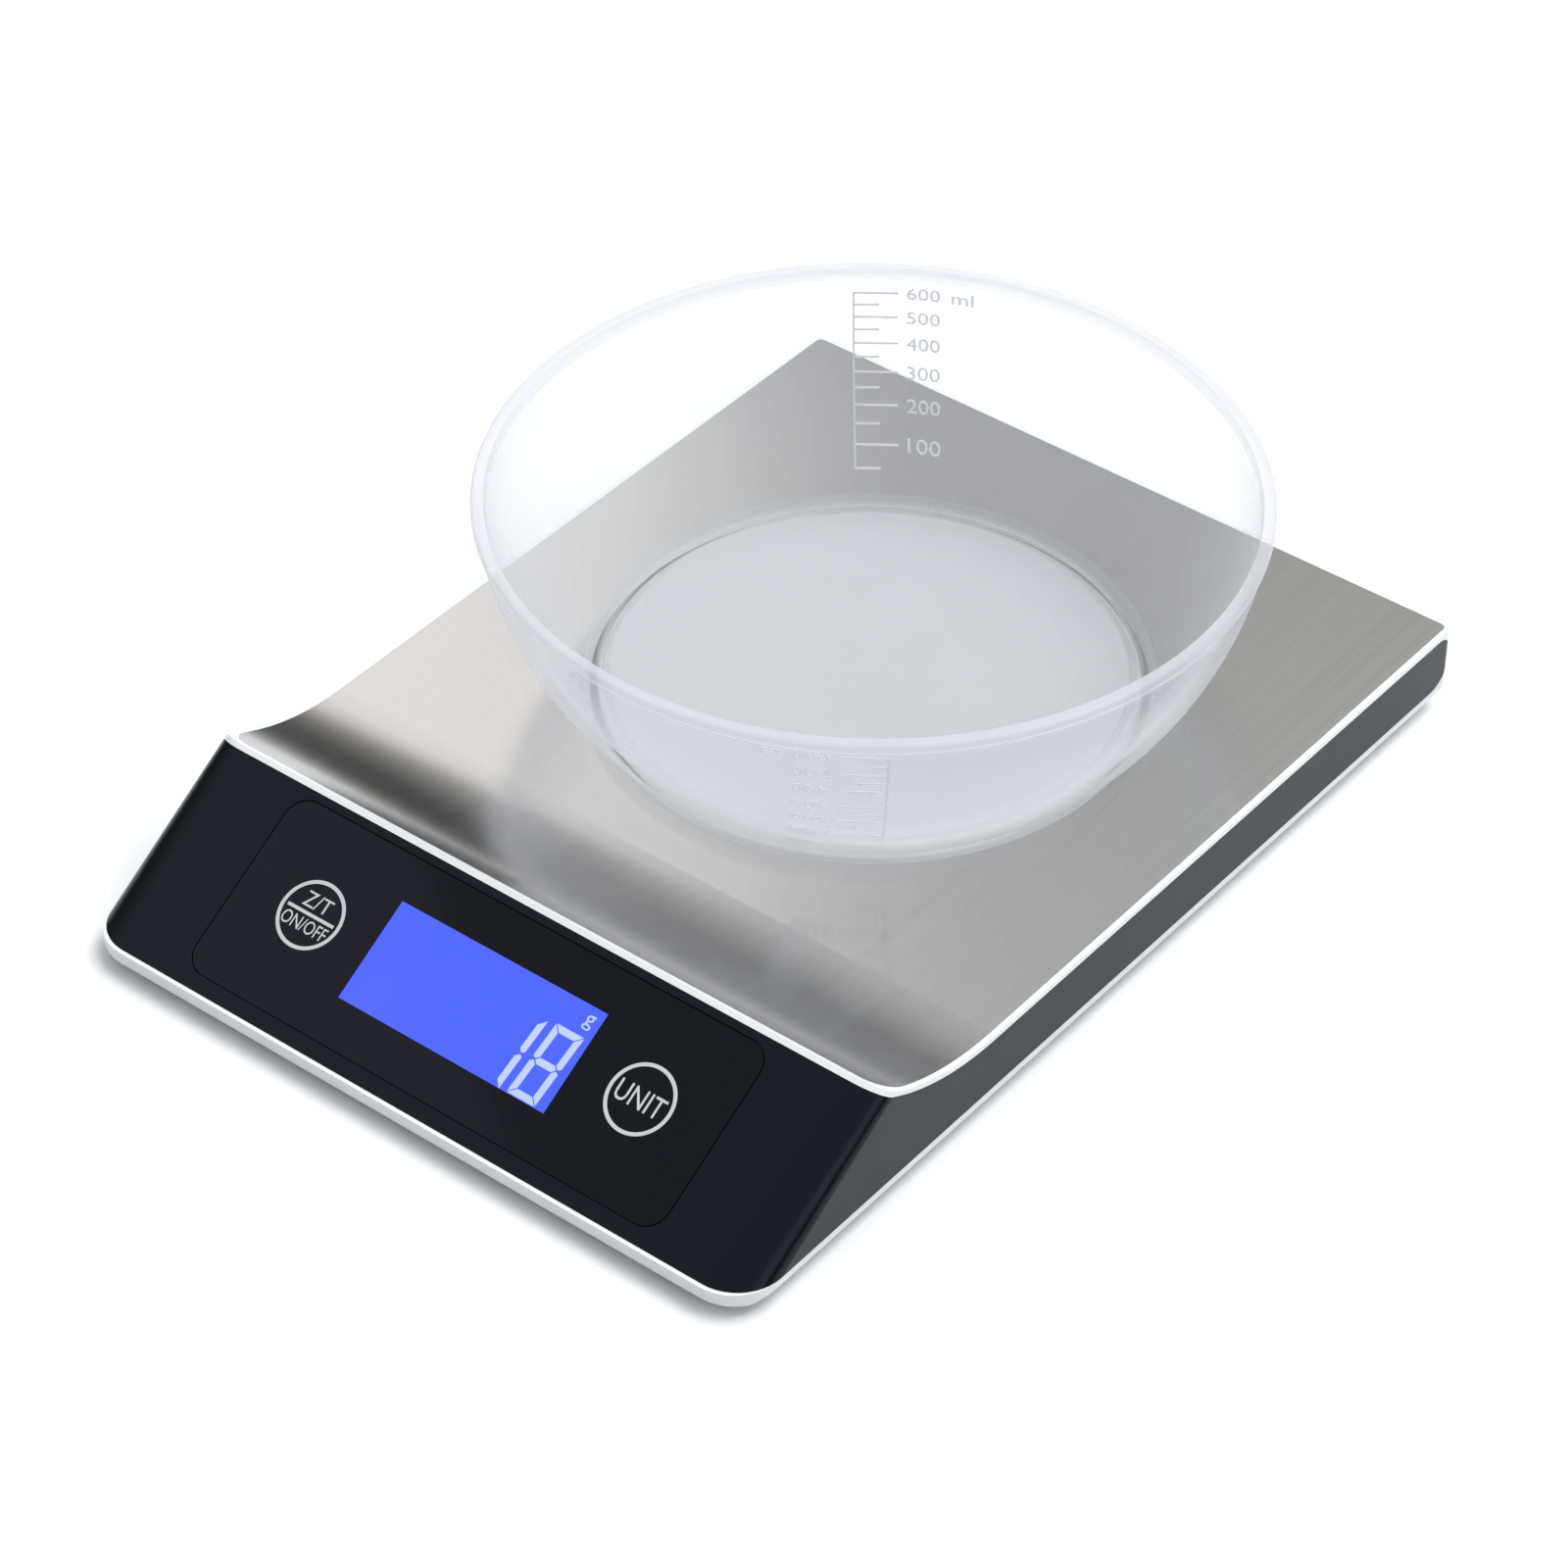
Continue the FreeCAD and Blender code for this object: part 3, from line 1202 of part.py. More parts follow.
def main():
    """Build every sub-part, check it and write its file."""
    make_platform_plate()
    make_plate_adhesive()
    make_upper_frame()
    make_side_band()
    make_lower_shell()
    make_shell_screws()
    make_feet()
    make_load_cells()
    make_battery_door()
    make_batteries()
    make_battery_contacts()
    make_control_panel()
    make_display()
    make_board()
    make_leads()
    make_bowl()
    DOC.recompute()
    for item in DOC.Objects:
        if {"Invalid", "Error"} & set(item.State):
            raise RuntimeError(f"{item.Name} did not build: {item.State}")
    os.makedirs("parts", exist_ok=True)
    for piece in NODES:
        shape = piece.Shape
        if shape.isNull() or not shape.isValid() or not shape.Solids:
            raise RuntimeError(f"{piece.Label} has no valid solid")
        print(f"{piece.Label:24s} solids {len(shape.Solids):2d}  volume {shape.Volume:10.1f}")
        shape.exportStep(f"parts/{piece.Label}.step")


main()
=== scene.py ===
"""Looks of an electronic kitchen scale with a lift-off measuring bowl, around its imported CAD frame.

Every size is in metres, in the CAD frame: +Z up, the display faces -Y, the origin lies on the
table under the middle of the body. Pieces on the sloped front are drawn in the fascia's own
frame, where x runs across, u runs up the slope from the band's lower edge, and w points out.
"""
from __future__ import annotations

import logging
import math
from dataclasses import dataclass, field
from enum import Enum
from typing import Iterable, Sequence

import bmesh
import bpy
from mathutils import Matrix, Vector


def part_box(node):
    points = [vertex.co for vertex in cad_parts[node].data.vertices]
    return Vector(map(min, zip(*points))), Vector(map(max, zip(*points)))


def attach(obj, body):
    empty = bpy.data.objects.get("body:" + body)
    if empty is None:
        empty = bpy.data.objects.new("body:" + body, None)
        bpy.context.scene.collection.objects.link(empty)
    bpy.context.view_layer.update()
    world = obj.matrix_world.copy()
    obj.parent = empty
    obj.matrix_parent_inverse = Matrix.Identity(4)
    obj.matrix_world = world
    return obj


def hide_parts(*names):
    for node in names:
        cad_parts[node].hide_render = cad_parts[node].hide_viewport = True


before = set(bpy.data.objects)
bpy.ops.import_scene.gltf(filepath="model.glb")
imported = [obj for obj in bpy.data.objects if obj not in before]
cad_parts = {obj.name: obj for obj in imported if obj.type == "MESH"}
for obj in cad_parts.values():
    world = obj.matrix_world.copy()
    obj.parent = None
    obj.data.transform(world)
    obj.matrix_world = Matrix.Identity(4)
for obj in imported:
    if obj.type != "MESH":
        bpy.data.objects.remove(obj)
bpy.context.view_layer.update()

LOG = logging.getLogger("kitchen_scale")
BODY = "scale_body"
BOWL_BODY = "measuring_bowl"
Colour = tuple[float, float, float]
Corners = list[tuple[float, float]]


# ------------------------------------------------------------------ shader recipes

class Signal:
    """A shader value: arithmetic on it adds Math nodes to its recipe."""

    def __init__(self, recipe: "Recipe", socket: bpy.types.NodeSocket) -> None:
        """Keep the recipe and the socket that carries the value."""
        self.recipe = recipe
        self.socket = socket

    def math(self, operation: str, *values: "Signal | float") -> "Signal":
        """Add one Math node.

        Args:
            operation: the Math node's operation.
            values: its inputs, in order.

        Returns:
            The node's result.
        """
        node = self.recipe.add("ShaderNodeMath", {"operation": operation},
                               dict(enumerate(values)))
        return Signal(self.recipe, node.outputs[0])

    def __add__(self, other: "Signal | float") -> "Signal":
        """self + other."""
        return self.math("ADD", self, other)

    def __mul__(self, other: "Signal | float") -> "Signal":
        """self * other."""
        return self.math("MULTIPLY", self, other)

    def __pow__(self, other: float) -> "Signal":
        """self ** other."""
        return self.math("POWER", self, other)

    __radd__ = __add__
    __rmul__ = __mul__

    def rise(self, low: float, high: float) -> "Signal":
        """0 below low, 1 above high, and smooth between them."""
        node = self.recipe.add(
            "ShaderNodeMapRange", {"interpolation_type": "SMOOTHSTEP"},
            {"Value": self, "From Min": low, "From Max": high, "To Min": 0.0, "To Max": 1.0})
        return Signal(self.recipe, node.outputs["Result"])


class Recipe:
    """The node tree of one material, and the nodes that finishes are made from."""

    def __init__(self, title: str) -> None:
        """Start an empty material with an output."""
        self.material = bpy.data.materials.new(title)
        self.material.use_nodes = True
        self.tree = self.material.node_tree
        self.tree.nodes.clear()
        self.output = self.add("ShaderNodeOutputMaterial")
        self.coordinates = self.add("ShaderNodeTexCoord").outputs["Object"]

    def add(self, kind: str, settings: dict | None = None,
            inputs: dict | None = None) -> bpy.types.Node:
        """Add a node.

        Args:
            kind: the node's type.
            settings: its properties, which are set first.
            inputs: what its sockets, by name or number, hold or are linked to.

        Returns:
            The node.
        """
        node = self.tree.nodes.new(kind)
        for name, setting in (settings or {}).items():
            setattr(node, name, setting)
        for name, held in (inputs or {}).items():
            socket = node.inputs[name]
            source = held.socket if isinstance(held, Signal) else held
            if isinstance(source, bpy.types.NodeSocket):
                self.tree.links.new(source, socket)
            elif isinstance(source, tuple) and len(source) == 3 and socket.type == "RGBA":
                socket.default_value = (*source, 1.0)
            else:
                socket.default_value = source
        return node

    def spread(self, scale: Sequence[float]) -> bpy.types.NodeSocket:
        """Object coordinates scaled along each axis."""
        node = self.add("ShaderNodeVectorMath", {"operation": "MULTIPLY"},
                        {0: self.coordinates, 1: tuple(scale)})
        return node.outputs[0]

    def noise(self, scale: Sequence[float], detail: float = 2.0, rough: float = 0.5) -> Signal:
        """Smooth noise from 0 to 1, with so many waves per metre along each axis."""
        node = self.add("ShaderNodeTexNoise", {},
                        {"Vector": self.spread(scale), "Scale": 1.0,
                         "Detail": detail, "Roughness": rough})
        return Signal(self, node.outputs["Fac"])

    def cells(self, scale: float, feature: str = "F1") -> Signal:
        """Distance to the nearest of scattered points, so many per metre."""
        node = self.add("ShaderNodeTexVoronoi", {"feature": feature},
                        {"Vector": self.spread((scale,) * 3), "Scale": 1.0})
        return Signal(self, node.outputs["Distance"])

    def axis(self, name: str) -> Signal:
        """One of the object coordinates."""
        node = self.add("ShaderNodeSeparateXYZ", {}, {0: self.coordinates})
        return Signal(self, node.outputs[name])

    def blend(self, mask: Signal, low: Colour | bpy.types.NodeSocket,
              high: Colour | bpy.types.NodeSocket) -> bpy.types.NodeSocket:
        """The low colour where the mask is 0 and the high one where it is 1."""
        node = self.add("ShaderNodeMix", {"data_type": "RGBA"}, {"Factor": mask})
        for socket, colour in ((node.inputs[6], low), (node.inputs[7], high)):
            if isinstance(colour, bpy.types.NodeSocket):
                self.tree.links.new(colour, socket)
            else:
                socket.default_value = (*colour, 1.0)
        return node.outputs[2]

    def relief(self, height: Signal, depth: float) -> bpy.types.NodeSocket:
        """A normal that rises and falls by a height from 0 to 1 of that depth."""
        node = self.add("ShaderNodeBump", {},
                        {"Height": height, "Distance": depth, "Strength": 1.0})
        return node.outputs["Normal"]

    def surface(self, **sockets: object) -> bpy.types.NodeSocket:
        """A Principled surface; a socket's name has _ for each space."""
        held = {name.replace("_", " "): value for name, value in sockets.items()}
        node = self.add("ShaderNodeBsdfPrincipled", {}, held)
        return node.outputs[0]

    def cover(self, shader: bpy.types.NodeSocket) -> bpy.types.Material:
        """Put a shader on the material's output and return the material."""
        self.tree.links.new(shader, self.output.inputs["Surface"])
        return self.material


# ------------------------------------------------------------------ finishes

def lighter(colour: Colour, share: float) -> Colour:
    """A colour with each channel scaled."""
    return tuple(min(1.0, channel * share) for channel in colour)


@dataclass(frozen=True)
class Moulded:
    """Moulded plastic, rubber or another solid colour with its fine skin.

    skin is the number of grains per metre, and depth the height of one.
    """

    title: str
    colour: Colour
    roughness: float = 0.35
    skin: float = 900.0
    depth: float = 0.00002
    mottle: float = 0.03
    coat: float = 0.0
    sheen: float = 0.0
    scatter: float = 0.0

    def make(self) -> bpy.types.Material:
        """Mix the material."""
        recipe = Recipe(self.title)
        cloud = recipe.noise((28.0,) * 3, 3.0)
        grain = recipe.noise((self.skin,) * 3, 2.0)
        flow = recipe.noise((90.0, 14.0, 60.0), 2.0)
        shade = recipe.blend((cloud * 0.6 + flow * 0.4).rise(0.3, 0.7),
                             lighter(self.colour, 1.0 - self.mottle),
                             lighter(self.colour, 1.0 + self.mottle))
        rough = self.roughness * 0.85 + self.roughness * 0.3 * cloud
        return recipe.cover(recipe.surface(
            Base_Color=shade, Roughness=rough, Coat_Weight=self.coat, Coat_Roughness=0.08,
            Sheen_Weight=self.sheen, Subsurface_Weight=self.scatter,
            Subsurface_Radius=(0.6, 0.6, 0.7), Subsurface_Scale=0.001,
            Normal=recipe.relief(grain + 0.3 * cloud, self.depth)))


@dataclass(frozen=True)
class Brushed:
    """Sheet steel brushed from front to back, with long hairlines and a faint cloudiness."""

    title: str = "brushed_steel"
    colour: Colour = (0.60, 0.59, 0.575)
    roughness: float = 0.21
    lines: float = 2600.0
    run: float = 5.0
    depth: float = 0.0000013

    def make(self) -> bpy.types.Material:
        """Mix the material."""
        recipe = Recipe(self.title)
        fine = recipe.noise((self.lines, self.run, self.run), 3.0, 0.6)
        broad = recipe.noise((self.lines * 0.22, self.run * 0.6, self.run), 2.0)
        cloud = recipe.noise((9.0, 14.0, 9.0), 2.0)
        streak = (fine * 0.65 + broad * 0.35).rise(0.3, 0.7)
        shade = recipe.blend(streak, lighter(self.colour, 0.97), lighter(self.colour, 1.03))
        rough = self.roughness * 0.9 + self.roughness * (0.14 * streak + 0.06 * cloud)
        return recipe.cover(recipe.surface(
            Base_Color=shade, Metallic=1.0, Roughness=rough,
            Normal=recipe.relief(fine * 0.7 + broad * 0.3, self.depth)))


@dataclass(frozen=True)
class Plated:
    """Turned or pressed bright metal with fine marks of the tool."""

    title: str
    colour: Colour
    roughness: float = 0.3
    marks: float = 700.0
    depth: float = 0.00002

    def make(self) -> bpy.types.Material:
        """Mix the material."""
        recipe = Recipe(self.title)
        marks = recipe.noise((self.marks, self.marks * 0.3, self.marks), 2.0)
        cloud = recipe.noise((160.0,) * 3, 3.0)
        shade = recipe.blend(cloud.rise(0.3, 0.75), lighter(self.colour, 0.85), self.colour)
        rough = self.roughness * 0.75 + self.roughness * 0.5 * cloud
        return recipe.cover(recipe.surface(
            Base_Color=shade, Metallic=1.0, Roughness=rough,
            Normal=recipe.relief(marks, self.depth)))


@dataclass(frozen=True)
class GlossBlack:
    """High-gloss black plastic, with the slight waviness of a moulding and faint dust."""

    title: str
    colour: Colour = (0.0035, 0.0038, 0.0055)
    roughness: float = 0.24
    wave: float = 60.0
    depth: float = 0.00003
    dust: float = 0.5

    def make(self) -> bpy.types.Material:
        """Mix the material."""
        recipe = Recipe(self.title)
        wave = recipe.noise((self.wave,) * 3, 1.0)
        skin = recipe.noise((1400.0,) * 3, 2.0)
        specks = recipe.cells(420.0).rise(0.10, 0.03) * self.dust
        shade = recipe.blend(specks, self.colour, lighter(self.colour, 2.2))
        rough = self.roughness * 0.85 + self.roughness * 0.3 * wave
        return recipe.cover(recipe.surface(
            Base_Color=shade, Roughness=rough, Specular_IOR_Level=0.25,
            Specular_Tint=(0.8, 0.82, 1.0, 1.0),
            Normal=recipe.relief(wave + 0.02 * skin, self.depth)))


@dataclass(frozen=True)
class FrostedWall:
    """Translucent polypropylene: a clear wall with a faint milky veil that thickens edge on.

    veil is how much of the milk shows face on, edge how much more shows at a glance, and thick
    how much more shows in the rim's bead and the foot, where there is more plastic. glow is the
    share of the milk that lets light through. outline is the share of painted shade, a flat grey
    diffuse in the shade colour that is laid over the wall as it turns edge on, standing in for
    the dim rim that refraction gives a clear wall.
    """

    title: str
    rim_level: float
    foot_level: float
    milk: Colour = (0.93, 0.94, 0.97)
    # The grey of the painted shade laid over the wall edge on; the plastic itself has no grey.
    shade: Colour = (0.55, 0.57, 0.62)
    veil: float = 0.11
    edge: float = 0.5
    thick: float = 0.3
    roughness: float = 0.22
    glow: float = 0.55
    outline: float = 0.35
    skin_depth: float = 0.000003

    def make(self) -> bpy.types.Material:
        """Mix the material."""
        recipe = Recipe(self.title)
        cloud = recipe.noise((35.0, 35.0, 60.0), 2.0)
        skin = recipe.noise((500.0,) * 3, 2.0)
        tone = recipe.blend(cloud, lighter(self.milk, 0.97), self.milk)
        relief = recipe.relief(skin + 0.5 * cloud, self.skin_depth)
        skin_shader = recipe.surface(Base_Color=tone, Roughness=self.roughness, IOR=1.49,
                                     Coat_Weight=0.3, Coat_Roughness=0.08, Normal=relief)
        through = recipe.add("ShaderNodeBsdfTranslucent", {}, {"Color": self.milk})
        milky = recipe.add("ShaderNodeMixShader", {}, {0: self.glow, 1: skin_shader,
                                                       2: through.outputs[0]})
        clear = recipe.add("ShaderNodeBsdfTransparent", {}, {"Color": (0.98, 0.982, 0.988)})
        glance = Signal(recipe, recipe.add("ShaderNodeLayerWeight", {},
                                           {"Blend": 0.5}).outputs["Facing"])
        height = recipe.axis("Z")
        bead = height.rise(self.rim_level - 0.0004, self.rim_level + 0.0002)
        foot = height.rise(self.foot_level + 0.0006, self.foot_level - 0.0003)
        share = (self.veil * (0.85 + 0.3 * cloud) + self.edge * glance ** 3.0
                 + self.thick * (bead + foot))
        wall = recipe.add("ShaderNodeMixShader", {}, {0: share, 1: clear.outputs[0],
                                                      2: milky.outputs[0]})
        # Painted shade: a flat grey diffuse mixed over the wall more and more as it turns edge on,
        # standing in for the dim rim that refraction gives a clear wall; the volume marks wear it
        # too.
        painted_edge_grey = recipe.add("ShaderNodeBsdfDiffuse", {}, {"Color": self.shade})
        wall_with_painted_shade = recipe.add("ShaderNodeMixShader", {}, {0: self.outline * glance ** 9.0,
                                                       1: wall.outputs[0],
                                                       2: painted_edge_grey.outputs[0]})
        return recipe.cover(wall_with_painted_shade.outputs[0])


@dataclass(frozen=True)
class LitFace:
    """The lit field of a display: an even glow, slightly dimmer in soft patches spread at random."""

    title: str
    colour: Colour
    strength: float
    fall: float = 0.12

    def make(self) -> bpy.types.Material:
        """Mix the material."""
        recipe = Recipe(self.title)
        cloud = recipe.noise((40.0,) * 3, 2.0)
        cells = recipe.noise((2600.0,) * 3, 0.0)
        depth = (cloud * 0.8 + cells * 0.2).rise(0.2, 0.8)
        glow = recipe.blend(depth, lighter(self.colour, 1.0 - self.fall), self.colour)
        return recipe.cover(recipe.surface(
            Base_Color=lighter(self.colour, 0.1), Roughness=0.15, Emission_Color=glow,
            Emission_Strength=self.strength))


@dataclass(frozen=True)
class Laminate:
    """A printed circuit board: lacquer over a woven base, with lighter tracks under it."""

    title: str = "circuit_board"
    lacquer: Colour = (0.01, 0.13, 0.05)
    track: Colour = (0.03, 0.22, 0.09)

    def make(self) -> bpy.types.Material:
        """Mix the material."""
        recipe = Recipe(self.title)
        tracks = recipe.cells(260.0, "DISTANCE_TO_EDGE").rise(0.16, 0.2)
        weave = recipe.noise((1800.0, 1800.0, 200.0), 1.0)
        shade = recipe.blend(tracks, self.track, self.lacquer)
        return recipe.cover(recipe.surface(
            Base_Color=shade, Roughness=0.2 + 0.15 * weave, Coat_Weight=0.4,
            Normal=recipe.relief(weave + 0.8 * tracks, 0.00003)))


class Finishes:
    """Every material of the object, made once and found by its title."""

    def __init__(self) -> None:
        """Make all the materials."""
        recipes = (
            Moulded("white_shell", (0.8, 0.81, 0.83), 0.32, 700.0, 0.00001, 0.015, coat=0.15),
            Moulded("white_trim", (0.86, 0.87, 0.89), 0.25, 700.0, 0.000005, 0.01, coat=0.25),
            Moulded("foot_plastic", (0.045, 0.046, 0.05), 0.45, 1200.0, 0.00003, 0.1),
            Moulded("foot_rubber", (0.028, 0.028, 0.03), 0.75, 1600.0, 0.00006, 0.18, sheen=0.2),
            Moulded("battery_jacket", (0.02, 0.14, 0.09), 0.22, 900.0, 0.000005, 0.08, coat=0.6),
            Moulded("red_lead", (0.42, 0.02, 0.02), 0.4, 1500.0, 0.00001, 0.08),
            Moulded("black_lead", (0.02, 0.02, 0.022), 0.4, 1500.0, 0.00001, 0.1),
            Moulded("cell_lead", (0.3, 0.31, 0.33), 0.4, 1500.0, 0.00001, 0.08),
            Moulded("adhesive", (0.62, 0.6, 0.55), 0.6, 500.0, 0.00002, 0.08),
            Moulded("board_parts", (0.03, 0.03, 0.034), 0.5, 1500.0, 0.00002, 0.15),
            Moulded("gauge_epoxy", (0.72, 0.7, 0.64), 0.3, 300.0, 0.00004, 0.08, coat=0.3),
            Moulded("zebra", (0.25, 0.05, 0.12), 0.55, 2500.0, 0.00003, 0.25),
            Moulded("display_glass", (0.05, 0.07, 0.16), 0.08, 400.0, 0.000002, 0.05, coat=0.8),
            Moulded("light_spreader", (0.55, 0.62, 0.85), 0.35, 900.0, 0.00001, 0.04),
            Plated("zinc_steel", (0.62, 0.63, 0.64), 0.32, 1100.0),
            Plated("spring_steel", (0.68, 0.68, 0.67), 0.22, 1500.0),
            Plated("cell_steel", (0.46, 0.47, 0.48), 0.35, 800.0),
            Brushed(),
            GlossBlack("black_gloss"),
            GlossBlack("panel_lens", (0.003, 0.003, 0.0045), 0.06, 25.0, 0.00001, 0.25),
            FrostedWall("clear_bowl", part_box("bowl")[1].z - 0.0026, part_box("bowl")[0].z + 0.0036),
            FrostedWall("bowl_marks", 1.0, -1.0, veil=0.85, edge=0.2),
            Moulded("key_print", (0.62, 0.63, 0.66), 0.35, 1500.0, 0.000005, 0.05),
            LitFace("lit_field", (0.062, 0.115, 1.0), 1.0),
            LitFace("lit_segments", (0.48, 0.6, 1.0), 1.0, 0.06),
            Laminate(),
        )
        self.made = {recipe.title: recipe.make() for recipe in recipes}

    def get(self, title: str) -> bpy.types.Material:
        """The material of that title."""
        return self.made[title]


# The finish of each CAD node whose material is not the one of its record slot.
OTHER_FINISH = {"upper_frame": "white_trim", "backlight": "light_spreader"}


def dress_nodes(finishes: Finishes) -> None:
    """Give every CAD node the finish of its slot, on its own material slots."""
    for name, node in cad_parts.items():
        slot_name = node.material_slots[0].material.name.split(".")[0]
        title = OTHER_FINISH.get(name, slot_name)
        for slot in node.material_slots:
            slot.material = finishes.get(title)
        LOG.info("node %s wears %s", name, title)


# ------------------------------------------------------------------ pieces

def finish_piece(bm: bmesh.types.BMesh, name: str, body: str,
                 material: bpy.types.Material, smooth: bool = False) -> bpy.types.Object:
    """Turn a mesh into a piece of the object.

    Args:
        bm: the finished mesh, in the CAD frame; it is freed.
        name: the piece's name.
        body: the CAD body it rides on.
        material: its material.
        smooth: whether its faces are shaded smooth up to a sharp edge.

    Returns:
        The piece.
    """
    bmesh.ops.recalc_face_normals(bm, faces=bm.faces)
    mesh = bpy.data.meshes.new(name)
    bm.to_mesh(mesh)
    bm.free()
    if smooth:
        mesh.shade_smooth()
        mesh.set_sharp_from_angle(angle=math.radians(35.0))
    mesh.materials.append(material)
    piece = bpy.data.objects.new(name, mesh)
    bpy.context.scene.collection.objects.link(piece)
    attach(piece, body)
    LOG.info("piece %s on %s, %d faces", name, body, len(mesh.polygons))
    return piece


def thicken(bm: bmesh.types.BMesh, depth: float) -> None:
    """Give every flat face of a mesh that depth, towards +Z."""
    made = bmesh.ops.extrude_face_region(bm, geom=list(bm.faces))["geom"]
    bmesh.ops.translate(bm, vec=(0, 0, depth),
                        verts=[part for part in made if isinstance(part, bmesh.types.BMVert)])


def polygon(bm: bmesh.types.BMesh, corners: Iterable[tuple[float, float]]) -> None:
    """Add one flat face with those corners, at height 0."""
    bm.faces.new([bm.verts.new((x, y, 0.0)) for x, y in corners])


def lettering(text: str, height: float, width: float) -> bpy.types.Mesh:
    """A flat mesh of a few characters, centred on the origin.

    Args:
        text: the characters.
        height: the height of the whole line of them.
        width: the width that they are fitted to.

    Returns:
        The mesh, which the caller removes.
    """
    curve = bpy.data.curves.new("letters", "FONT")
    curve.body = text
    curve.resolution_u = 3
    source = bpy.data.objects.new("letters", curve)
    mesh = bpy.data.meshes.new_from_object(source)
    bpy.data.objects.remove(source)
    bpy.data.curves.remove(curve)
    places = [vertex.co for vertex in mesh.vertices]
    low = Vector((min(p.x for p in places), min(p.y for p in places), 0))
    high = Vector((max(p.x for p in places), max(p.y for p in places), 0))
    scale_y = height / (high.y - low.y)
    scale_x = width / (high.x - low.x)
    mesh.transform(Matrix.Diagonal((scale_x, scale_y, 1.0, 1.0))
                   @ Matrix.Translation(-(low + high) / 2))
    return mesh


def add_lettering(bm: bmesh.types.BMesh, text: str, centre: tuple[float, float], height: float,
                  width: float) -> None:
    """Add flat characters round a centre to a mesh."""
    mesh = lettering(text, height, width)
    mesh.transform(Matrix.Translation((*centre, 0.0)))
    bm.from_mesh(mesh)
    bpy.data.meshes.remove(mesh)


@dataclass(frozen=True)
class KeyLabel:
    """Plain words of a touch key: which side it is on, and their place above its middle."""

    text: str
    side: int
    rise: float
    height: float
    width: float


@dataclass
class Fascia:
    """The sloped front: its frame, and what is printed or lit on its lens."""

    finishes: Finishes
    run: float = 0.0415
    film: float = 0.00003
    field_half: float = 0.0263
    field_low: float = 0.0131
    field_high: float = 0.0359
    key_x: float = 0.0422
    key_u: float = 0.0246
    ring_radius: float = 0.0075
    ring_width: float = 0.0008
    bar_half: float = 0.0060
    bar_rise: float = 0.00035
    labels: tuple[KeyLabel, ...] = (
        KeyLabel("Z/T", -1, 0.0028, 0.0033, 0.0066),
        KeyLabel("ON/OFF", -1, -0.0024, 0.0029, 0.0113),
        KeyLabel("UNIT", 1, 0.0, 0.0043, 0.0112),
    )
    to_frame: Matrix = field(init=False)

    def __post_init__(self) -> None:
        """Work out the fascia's frame and the height of the lens's face in it."""
        band_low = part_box("side_band")[0]
        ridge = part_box("upper_frame")[1].z
        lean = math.atan2(ridge - band_low.z, self.run)
        self.to_frame = (Matrix.Translation((0.0, band_low.y, band_low.z))
                         @ Matrix.Rotation(lean, 4, "X"))
        back = self.to_frame.inverted()
        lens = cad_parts["control_panel"].data.vertices
        self.face = max((back @ vertex.co).z for vertex in lens)

    def lay(self, bm: bmesh.types.BMesh, name: str, finish: str,
            layer: int = 0) -> bpy.types.Object:
        """Give a flat drawing its film's thickness and lay it on the lens.

        Args:
            bm: the drawing, flat at height 0 in the fascia's frame.
            name: the piece's name.
            finish: the title of its finish.
            layer: how many films lie under it.

        Returns:
            The piece.
        """
        thicken(bm, self.film * (layer + 1))
        bmesh.ops.translate(bm, vec=(0, 0, self.face), verts=bm.verts)
        bmesh.ops.transform(bm, matrix=self.to_frame, verts=bm.verts)
        return finish_piece(bm, name, BODY, self.finishes.get(finish))

    def build(self) -> None:
        """Make every print and lit piece of the lens."""
        self.build_field()
        self.build_digits()
        self.build_rings()
        self.build_labels()

    def build_field(self) -> None:
        """The lit field of the display."""
        bm = bmesh.new()
        polygon(bm, [(-self.field_half, self.field_low), (self.field_half, self.field_low),
                     (self.field_half, self.field_high), (-self.field_half, self.field_high)])
        self.lay(bm, "display_field", "lit_field")

    def build_digits(self) -> None:
        """The reading: two italic seven-segment digits and the gram sign."""
        bm = bmesh.new()
        Digit(right=0.0161, top=0.0292).draw(bm, "1")
        Digit(right=0.0249, top=0.0296).draw(bm, "8")
        add_lettering(bm, "g", (0.0237, 0.0326), 0.0032, 0.0021)
        self.lay(bm, "display_digits", "lit_segments", 1)

    def build_rings(self) -> None:
        """The ring round each touch key, and the bar across the left one."""
        bm = bmesh.new()
        for x in (-self.key_x, self.key_x):
            place = Matrix.Translation((x, self.key_u, 0.0))
            disc = bmesh.ops.create_circle(bm, cap_ends=True, segments=96,
                                           radius=self.ring_radius, matrix=place)
            face = next(f for f in bm.faces if f.verts[0] in disc["verts"])
            bmesh.ops.inset_individual(bm, faces=[face], thickness=self.ring_width)
            bmesh.ops.delete(bm, geom=[face], context="FACES_ONLY")
        left, right = -self.key_x - self.bar_half, -self.key_x + self.bar_half
        low, high = self.key_u - self.bar_rise, self.key_u + self.bar_rise
        polygon(bm, [(left, low), (right, low), (right, high), (left, high)])
        self.lay(bm, "key_rings", "key_print")

    def build_labels(self) -> None:
        """The plain words of the two keys: zero or tare with on and off, and units."""
        bm = bmesh.new()
        for label in self.labels:
            centre = (label.side * self.key_x, self.key_u + label.rise)
            add_lettering(bm, label.text, centre, label.height, label.width)
        self.lay(bm, "key_labels", "key_print")


